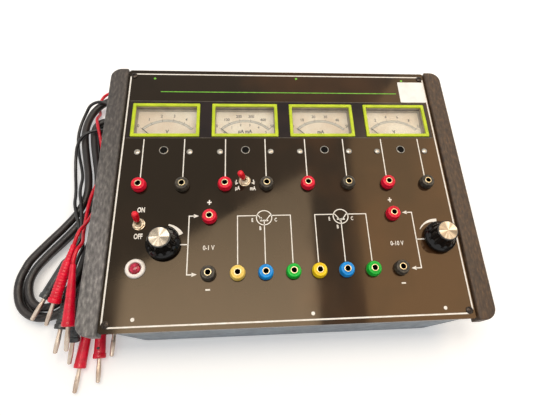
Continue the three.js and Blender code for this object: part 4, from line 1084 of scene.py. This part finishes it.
def makeLamp(plan):
    x, y = plan["place"]
    place = (x, y + printShift, panelTop)

    def facet(angle, height):
        # twelve flat sides that fade out towards the crown
        step = np.pi / 6
        inside = np.cos(step / 2) / np.cos(np.mod(angle, step) - step / 2) - 1
        return inside * np.clip((plan["facetTop"] - height) / plan["facetFade"], 0, 1) * plan["facetDepth"]

    ring = turned(eased(plan["ring"], plan["ringEdge"], 4), 56)
    lens = turned(eased(plan["lens"], plan["lensEdge"], 4), 72, facet)
    holder = addPiece("lampRing", [(ring, "lampWhite")], sharp=45, place=place)
    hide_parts("lamp_holder")
    glass = addPiece("lampGlass", [(lens, "lampRuby")], sharp=25, place=place)
    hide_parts("lamp_lens")


makeLamp(lampPlan)
print("switches and lamp made")

# Patch plugs, mains plug and gland
patchPlugs = {
    # tail end, point it aims at, kind of sleeve
    "plug_red_1a": ([-178.4, -63.9, 43.5], [-179.5, -130.3, 28.9], "cone"),
    "plug_red_1b": ([-171.5, -93.3, 7.7], [-177.7, -160.9, 4.7], "plain"),
    "plug_red_2a": ([-181.1, -46.4, 41.7], [-200.3, -109.3, 24.1], "ribbed"),
    "plug_red_2b": ([-163.1, -86.1, 7.8], [-160.2, -154.0, 4.6], "holed"),
    "plug_black_1a": ([-186.3, -42.0, 23.9], [-214.4, -103.7, 19.6], "holed"),
    "plug_black_1b": ([-173.4, -76.0, 32.3], [-183.7, -138.8, 8.3], "ribbed"),
    "plug_black_2a": ([-184.7, -63.4, 24.2], [-192.0, -130.8, 18.9], "ribbed"),
    "plug_black_2b": ([-149.8, -66.1, 7.7], [-151.5, -134.0, 4.6], "plain"),
}
plugPlan = {
    "tail": 13.0, "sleeve": 32.0, "collar": 4.0, "collarRadius": 5.2, "plainCollar": 4.9,
    "pin": 19.0, "pinRadius": 1.95, "bow": 0.28, "slit": 0.12, "wireIn": 9.5,
    # radii at the tail end, the foot of the sleeve, just above it and the sleeve's end, and
    # at the two ends of the cone
    "taper": [2.1, 3.0, 4.1, 4.7], "cone": [2.2, 4.9],
    # depth and spacing of the rings cut in the ribbed and in the cone sleeve
    "ribs": (0.32, 2.6), "coneRibs": (0.2, 5.0),
    "stub": [[0, -1.0], [1.15, -1.0], [1.15, 0.35], [0.85, 0.4], [0.8, 0.1], [0, 0.1]],
    "stubAlong": 41.0, "stubOut": 4.55,
}


def sleeveShape(plan, kind):
    tail, end = plan["tail"], plan["tail"] + plan["sleeve"]
    z = np.linspace(0.0, end, 90)
    radius = np.interp(z, [0, tail, tail + 3, end], plan["taper"])
    if kind == "ribbed":
        depth, spacing = plan["ribs"]
        radius = radius - depth * np.clip(np.sin(z * 2 * np.pi / spacing), 0, 1) * (z > 2)
    if kind == "cone":
        depth, spacing = plan["coneRibs"]
        radius = np.interp(z, [0, end], plan["cone"])
        radius = radius - depth * np.clip(np.sin(z * 2 * np.pi / spacing), 0.6, 1) * (z > 26)
    collar, top = plan["plainCollar" if kind == "plain" else "collarRadius"], end + plan["collar"]
    side = np.stack([radius, z], -1).tolist()
    rim = [[collar - 0.2, end + 0.05], [collar, end + 0.5], [collar, top - 0.6],
           [collar - 0.6, top], [0, top]]
    return turned([[0, 0], [1.8, 0.0]] + side[1:] + rim, 40)


def pinShape(plan):
    # a sprung pin: four leaves that bow out in the middle and close at the tip
    start = plan["tail"] + plan["sleeve"] + plan["collar"] - 0.3
    end = start + plan["pin"] + 0.3
    z = np.linspace(start, end - 0.8, 30)
    along = (z - start) / plan["pin"]
    bow = plan["bow"]
    radius = plan["pinRadius"] - bow + bow * np.sin(np.pi * np.clip((along - 0.2) / 0.7, 0, 1))

    def slit(angle, height):
        # |cos 2a|^30 is near 1 at four angles only, where the leaves part
        share = np.clip((height - start - 4) / 2, 0, 1) * np.clip((end - 2.5 - height) / 1.5, 0, 1)
        return -plan["slit"] * np.abs(np.cos(2 * angle)) ** 30 * share

    return turned([[0, start]] + np.stack([radius, z], -1).tolist() + [[0.8, end], [0, end]], 64, slit)


def makePatchPlugs(plan):
    sleeves = {kind: sleeveShape(plan, kind) for kind in ("cone", "plain", "ribbed", "holed")}
    pin, stub = pinShape(plan), turned(plan["stub"], 24)
    pieces = {}
    for node, (tail, tip, kind) in patchPlugs.items():
        _, colour, end = node.split("_")
        turn = pointing(np.subtract(tip, tail))
        parts = [(moved(sleeves[kind], tail, turn), "plug" + colour.title()),
                 (moved(pin, tail, turn), "pinMetal")]
        if kind == "holed":
            # the grub screw faces up: its axis is the part of +Z square to the plug
            ahead = turn[:, 2]
            up = np.array([0, 0, 1]) - ahead * ahead[2]
            place = np.asarray(tail) + ahead * plan["stubAlong"] + up / np.linalg.norm(up) * plan["stubOut"]
            parts.append((moved(stub, place, pointing(up)), "fittingBlack"))
        piece = addPiece("plug" + colour.title() + end, parts, sharp=30)
        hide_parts(node)
        pieces[node] = piece
    return pieces


mainsPlan = {
    "place": (-72.0, 139.5, 15.0), "pins": ((6.5, 5.0, 2.3), (-6.5, 5.0, 2.3), (0.0, -5.0, 3.0)),
    "pinEnds": (25.5, 40.2, 41.0),
    "reliefFoot": 5.6, "reliefTip": 4.2, "reliefCore": 3.9, "reliefLength": 22.0,
    "shoulder": [[12.6, 0.0], [14.6, 1.2], [15.0, 3.0]], "grip": 15.0, "gripDepth": 0.45, "grips": 12,
    "face": [[15.0, 21.5], [15.0, 24.5], [14.2, 25.8], [12.5, 26.0], [0, 26.0]],
    "gland": (-8.0, 122.0, 14.0), "glandReach": 20.0,
    "glandNut": [[0, -6], [4.9, -6], [4.9, 0.02], [7.0, 0.02], [7.0, 1.1], [6.6, 1.5], [5.6, 1.6]],
}


def reliefProfile(foot, tip, low, high, ribs):
    # a taper with grooves square to it
    z = np.linspace(low, high, 64)
    radius = np.interp(z, [low, high], [tip, foot])
    groove = 0.5 * np.clip(np.sin((z - low) / (high - low) * 2 * np.pi * ribs), 0, 1)
    return np.stack([radius - groove, z], -1).tolist()


def makeMainsPlug(plan):
    length, core = plan["reliefLength"], plan["reliefCore"]
    relief = reliefProfile(plan["reliefFoot"], plan["reliefTip"], -length, -0.5, 7)
    grips = [[plan["grip"] - plan["gripDepth"] * (k % 2), 4 + k * 1.3] for k in range(plan["grips"])]
    foot = [[0, -length], [core, -length]]
    shell = turned(foot + relief[1:] + plan["shoulder"] + grips + plan["face"], 64)
    alongX = turnAbout("X", 180) @ turnAbout("Y", 90)
    (x, y, z), (root, end, tip) = plan["place"], plan["pinEnds"]
    pins = []
    for across, up, radius in plan["pins"]:
        profile = [[0, root], [radius, root], [radius, end], [radius * 0.6, tip], [0, tip]]
        pins.append(moved(turned(eased(profile, 0.5), 24), (x, y - across, z + up), alongX))
    plug = addPiece("mainsPlugBody", [(moved(shell, plan["place"], alongX), "fittingBlack"),
                                      (joinShapes(*pins), "pinMetal")], sharp=35)
    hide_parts("mains_plug")
    return plug


def makeGland(plan):
    reach = plan["glandReach"]
    taper = reliefProfile(4.3, 5.6, 1.8, reach - 0.2, 6)
    gland = turned(plan["glandNut"] + taper + [[3.9, reach], [0, reach]], 40)
    piece = addPiece("cordGlandSleeve", [(gland, "fittingBlack")], sharp=35,
                     place=plan["gland"], turn=turnAbout("X", -90))
    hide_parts("cord_gland")
    return piece


plugPieces = makePatchPlugs(plugPlan)
mainsPlugPiece, glandPiece = makeMainsPlug(mainsPlan), makeGland(mainsPlan)
print("plugs made")


# Cords, which repeat the CAD routes
leadDiameter = 3.0
mainsCord = {
    "diameter": 7.0, "hankRise": 7.6, "hankPitch": 8.3, "hankTurns": 2.5, "hankSwell": 2.3,
    "outline": [
        [-163, 60], [-162, 34], [-162, 8], [-166, -16], [-172, -40], [-176, -62], [-181, -80],
        [-191, -94], [-205, -101.5], [-219, -100], [-229, -92], [-234, -80], [-234.5, -67],
        [-230, -54], [-221, -41], [-210, -28], [-199, -14], [-190, 1], [-186.5, 17], [-187.5, 33],
        [-191, 50], [-195, 70], [-196.5, 86], [-194.2, 94.5], [-188, 100.7], [-179.5, 103],
        [-171, 100.7], [-164.8, 94.5], [-162.5, 86],
    ],
}
mainsRoutes = {
    "leadInRoute": [
        [-8, 142.3, 14], [-8, 149.3, 14], [-9.5, 156, 12.5], [-15, 162.5, 9], [-25, 166, 5.5],
        [-40, 166.8, 3.8], [-65, 166.6, 3.6], [-90, 166.6, 3.6], [-120, 166.6, 3.6], [-134, 166.4, 3.6],
        [-148, 163, 3.6], [-158.5, 154.5, 3.6], [-162.6, 142, 3.6], [-162, 125, 3.6], [-162, 105, 3.6],
        [-162.4, 85, 3.6], [-163, 67, 3.5], [-163, 60.3, 3.5],
    ],
    "tailRoute": [
        [-231.8, -57.8, 11.1], [-229.3, -51.2, 11.1], [-216.7, -34.3, 11.1], [-204.7, -19.5, 11.1],
        [-194.2, -3.7, 11.1], [-188.9, 13.9, 11.1], [-189.9, 32.4, 11.1], [-194, 50.9, 11.1],
        [-198.1, 69.7, 11.1], [-200, 84, 11], [-198.5, 99, 10.8], [-193.5, 112, 10.6],
        [-184.5, 121.5, 10.8], [-173, 127, 11.4], [-159, 131.5, 11], [-147, 134.5, 9],
        [-133, 137.5, 10], [-118, 139.3, 13], [-101.3, 139.5, 15], [-94.3, 139.5, 15],
    ],
}
leadRoutes = {
    "lead_red_1": [
        [-178.4, -63.6, 43.5], [-178.3, -59.9, 44.3], [-176.8, -51.8, 44.2], [-176.1, -43.2, 37.5],
        [-178.7, -33.5, 31.7], [-180.6, -23.2, 26.6], [-182, -12.4, 22.7], [-182.5, -1.1, 20.1],
        [-181.6, 10.3, 18.6], [-178.8, 21.6, 17.8], [-173.7, 31.7, 16], [-166.1, 40.1, 17.9],
        [-157.3, 41.2, 12], [-152.5, 32.3, 6.8], [-151, 21.1, 4.3], [-150.8, 9.6, 2.9],
        [-151.3, -1.9, 2.2], [-152.1, -13.5, 1.9], [-153.5, -25, 1.9], [-155.6, -36.4, 2.2],
        [-158.4, -47.7, 2.9], [-161.9, -58.7, 4], [-165.8, -69.5, 5.6], [-169.6, -80.2, 7.6],
        [-171.2, -89.3, 7.9], [-171.5, -93, 7.7],
    ],
    "lead_red_2": [
        [-181.1, -46.1, 41.7], [-180, -42.7, 42.7], [-177.8, -34.5, 42.7], [-176.4, -25.5, 35.7],
        [-175.5, -16, 29.3], [-175, -5.8, 24], [-174.7, 5.2, 20.7], [-174.5, 16.6, 19.8],
        [-174.5, 28.1, 20.7], [-176, 39.2, 18.7], [-177.5, 50.5, 16.8], [-179.4, 61.8, 16.6],
        [-181.6, 73, 18.6], [-184.2, 84, 21], [-187.5, 94.8, 18.6], [-189.3, 103.6, 11.3],
        [-190.9, 112.1, 4.2], [-193, 123.4, 4], [-188.9, 133.5, 5.8], [-179, 135.7, 10.6],
        [-169.5, 133, 16.5], [-161.2, 126, 16.5], [-155.1, 117.6, 11.6], [-151.1, 107.6, 7.6],
        [-148.8, 96.7, 4.8], [-147.7, 85.4, 3.1], [-147.2, 74, 2.2], [-147, 62.5, 1.8],
        [-146.9, 51, 1.7], [-146.7, 39.5, 1.7], [-146.5, 27.9, 1.7], [-146.4, 16.4, 1.7],
        [-146.4, 4.9, 1.7], [-146.9, -6.6, 1.7], [-147.8, -18, 1.9], [-149.3, -29.4, 2.3],
        [-151.7, -40.6, 3.1], [-154.9, -51.6, 4.3], [-158.5, -62.4, 5.9], [-162.5, -73, 7.8],
        [-163.3, -82.1, 8], [-163.1, -85.8, 7.8],
    ],
    "lead_black_1": [
        [-186.2, -41.7, 23.9], [-184.7, -38.3, 24.2], [-182.8, -29.7, 24.1], [-185.5, -19, 22],
        [-187.8, -8.2, 20.1], [-190.4, 2.6, 18.4], [-193.5, 13.1, 16.2], [-195.7, 23.2, 11.8],
        [-197.1, 33.6, 7.7], [-200, 44, 4.8], [-203.6, 54.6, 3.1], [-206.9, 65.3, 2.4],
        [-209.1, 76.3, 2.5], [-209.7, 87.5, 3.3], [-207.9, 98.4, 5.2], [-203.8, 108.2, 8.7],
        [-197.9, 116, 14], [-187.8, 118.1, 17.5], [-177.1, 115.8, 15.1], [-167.7, 110.4, 12.5],
        [-160.5, 102.1, 10.2], [-156.7, 92, 7.5], [-155.3, 81.2, 5], [-154.7, 70.1, 3.3],
        [-154.6, 58.9, 2.4], [-154.6, 47.6, 1.9], [-154.8, 36.4, 1.7], [-155, 25.1, 1.7],
        [-155.3, 13.9, 1.8], [-155.7, 2.7, 2.2], [-156.2, -8.5, 3.1], [-157.2, -19.6, 4.8],
        [-159.1, -30.1, 8.1], [-161.7, -39.9, 13], [-164.7, -48.7, 19.4], [-167.8, -56.7, 26.6],
        [-171, -64.4, 34.2], [-172.8, -72.3, 33.8], [-173.3, -75.7, 32.4],
    ],
    "lead_black_2": [
        [-184.7, -63.1, 24.3], [-184.3, -59.5, 24.6], [-182.9, -50.8, 23.6], [-182.6, -40.8, 18.8],
        [-186.1, -29.9, 18.3], [-189.6, -19, 18], [-193.3, -8.1, 17.9], [-196.8, 2.5, 16],
        [-199.2, 12.7, 11.5], [-201.7, 23.4, 8.1], [-204.1, 34.5, 6.5], [-205.7, 45.8, 6.9],
        [-206, 57, 9.5], [-204.3, 67.3, 14], [-198.6, 76.1, 17.9], [-189, 82.2, 17.6],
        [-178.2, 84.1, 16.4], [-167, 82.7, 17.8], [-157.4, 78.1, 13.8], [-150.1, 70.4, 9.7],
        [-145.5, 60.3, 6.6], [-143.1, 49.3, 4.6], [-142.2, 38, 3.2], [-141.8, 26.6, 2.4],
        [-141.8, 15.1, 2], [-141.9, 3.6, 2], [-142.4, -7.8, 2.4], [-143.4, -19.2, 3.1],
        [-144.8, -30.6, 4.2], [-146.8, -41.8, 5.8], [-149, -52.9, 7.7], [-149.7, -62.1, 7.9],
        [-149.8, -65.8, 7.7],
    ],
}


def hankLine(setting, steps=720):
    # place(t) = outline(t mod 1) + inward normal * drawn-in width; the height climbs one
    # layer between turns 1 and 1.5 as (1 - cos) / 2
    outline = evenly(np.vstack([curveThrough(setting["outline"], 20, closed=True),
                                setting["outline"][:1]]), 0.5)
    count = len(outline) - 1
    turn = np.linspace(0, setting["hankTurns"], steps + 1)
    mark = (turn % 1) * count

    def at(place):
        place = np.mod(place, count)
        return np.stack([np.interp(place, np.arange(count + 1), outline[:, k]) for k in (0, 1)], -1)

    place, heading = at(mark), unitRows(at(mark + 2) - at(mark - 2))
    climb = np.clip((turn - 1) / 0.5, 0, 1)
    rising = setting["hankPitch"] * np.minimum(turn, 1) + setting["hankSwell"] * np.sin(np.pi * climb)
    inward = np.where(turn < 1.5, rising, setting["hankPitch"] * (setting["hankTurns"] - turn))
    height = setting["diameter"] / 2 + setting["hankRise"] * (1 - np.cos(np.pi * climb)) / 2
    normal = np.stack([heading[:, 1], -heading[:, 0]], -1)
    return np.column_stack([place + normal * inward[:, None], height])


def lengthOf(line):
    return float(np.linalg.norm(np.diff(line, axis=0), axis=1).sum())


def insideTail(tail, tip, depth):
    ahead = np.subtract(tip, tail)
    return np.asarray(tail) + ahead / np.linalg.norm(ahead) * depth


def addCord(name, line, diameter, finish, exitPoint, slot, **facts):
    line = evenly(line, diameter * 0.45)
    piece = addPiece(name, [(tubeShape(line, diameter / 2, 18), finish)], sharp=60)
    print(name, "is", round(lengthOf(line)), "mm long")
    return piece


hank = hankLine(mainsCord)
leadIn = curveThrough(mainsRoutes["leadInRoute"])
tail = curveThrough(mainsRoutes["tailRoute"])
cordFacts = dict(slot="mains_cord", finish="mainsCord", diameter=mainsCord["diameter"])
cordIn = addCord("mainsCordFromGland", leadIn, exitPoint=leadIn[0], far_end="object",
                 stiffness="medium", lay="loose", with_pieces=[glandPiece], **cordFacts)
cordHank = addCord("mainsCordHank", hank, exitPoint=hank[0], far_end="object",
                   stiffness="medium", lay="coiled", **cordFacts)
cordOut = addCord("mainsCordToPlug", tail, exitPoint=tail[0], far_end="plug",
                  stiffness="medium", lay="loose", with_pieces=[mainsPlugPiece], **cordFacts)
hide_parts("mains_cord_in")
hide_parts("mains_cord_hank")
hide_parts("mains_cord_out")
for name, route in leadRoutes.items():
    colour = "red" if "red" in name else "black"
    ends = [name.replace("lead", "plug") + end for end in ("a", "b")]
    # the wire runs on a little way inside the tail of each plug
    inside = [insideTail(*patchPlugs[end][:2], plugPlan["wireIn"]) for end in ends]
    line = np.vstack([inside[0], curveThrough(route), inside[1]])
    lead = addCord("lead" + colour.title() + name[-1], line, leadDiameter, "lead" + colour.title(),
                   line[0], "lead_" + colour, far_end="plug", stiffness="limp", lay="loose",
                   with_pieces=[plugPieces[end] for end in ends])
    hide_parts(name)


# Floor, lights and background
lightPlan = {
    "room": 0.5, "cardHeight": 1250.0,
    "cards": [
        # name, glow at the front and back, colour, outline as the patch of the panel that
        # mirrors it to the camera
        ("ceilingCardLeft", (8.6, 3.9), (1.0, 0.93, 0.82),
         [[-134, -78], [-134, -140], [19.5, -140], [19.5, 12]]),
        ("ceilingCardRight", (4.7, 3.2), (1.0, 0.8, 0.58),
         [[58, -140], [170, -140], [170, 128], [124, 128], [60, 44]]),
    ],
    "floorTone": (0.86, 0.86, 0.86), "floorGlow": 0.32, "floorSize": 6000, "floorDrop": 0.4,
}


def seenByEye(tree):
    # 1 for camera, mirror and clear-glass rays
    path = newNode(tree, "LightPath", {})
    total = path.outputs["Is Camera Ray"]
    for ray in ("Is Glossy Ray", "Is Transmission Ray"):
        total = newNode(tree, "Math", {0: total, 1: path.outputs[ray]}, operation="MAXIMUM").outputs[0]
    return total


def flatSheet(name, corners, order=1):
    # faces up, or down with order -1, where its corners run counter-clockwise from above
    sheet = bpy.data.meshes.new(name)
    sheet.from_pydata((np.array(corners) * mm).tolist(), [], [list(range(len(corners)))[::order]])
    material, tree, shader = newMaterial(name)
    sheet.materials.append(material)
    thing = bpy.data.objects.new(name, sheet)
    scene.collection.objects.link(thing)
    return thing, tree, shader


def setStage(plan):
    world = bpy.data.worlds.new("paleRoom")
    scene.world = world
    world.use_nodes = True
    tree = world.node_tree
    setInputs(tree, tree.nodes["Background"], {
        "Color": (1, 1, 1, 1), "Strength": rangeOf(tree, seenByEye(tree), plan["room"], 1.0, 0, 1)})

    half, z = plan["floorSize"] / 2, -plan["floorDrop"]
    floor, tree, shader = flatSheet("paleFloor", [
        [-half, -half, z], [half, -half, z], [half, half, z], [-half, half, z]])
    glow = newNode(tree, "Math", {0: seenByEye(tree), 1: plan["floorGlow"]}, operation="MULTIPLY")
    setInputs(tree, shader, {
        "Base Color": (*plan["floorTone"], 1), "Roughness": 1.0, "Specular IOR Level": 0.0,
        "Emission Color": (1, 1, 1, 1), "Emission Strength": glow.outputs[0]})
    for values in plan["cards"]:
        hangCard(*values, plan["cardHeight"])


def hangCard(name, glow, colour, patch, height):
    # card = patch + (patch - camera) * (height - panel) / (camera height - panel), level and
    # facing down; its glow changes evenly from front to back
    patch, eye = np.array(patch, float), np.array(cameraView["place"])
    share = (height - panelTop) / (eye[2] - panelTop)
    outline = patch + (patch - eye[:2]) * share
    card, tree, shader = flatSheet(name, np.column_stack([outline, np.full(len(outline), height)]), -1)
    depth = axisOf(tree, newNode(tree, "TexCoord", {}).outputs["Object"], "Y")
    front, back = outline[:, 1].min() * mm, outline[:, 1].max() * mm
    setInputs(tree, shader, {
        "Base Color": (0, 0, 0, 1), "Emission Color": (*colour, 1),
        "Emission Strength": rangeOf(tree, depth, *glow, front, back)})
    card.visible_camera = False


setStage(lightPlan)
print("stage set")
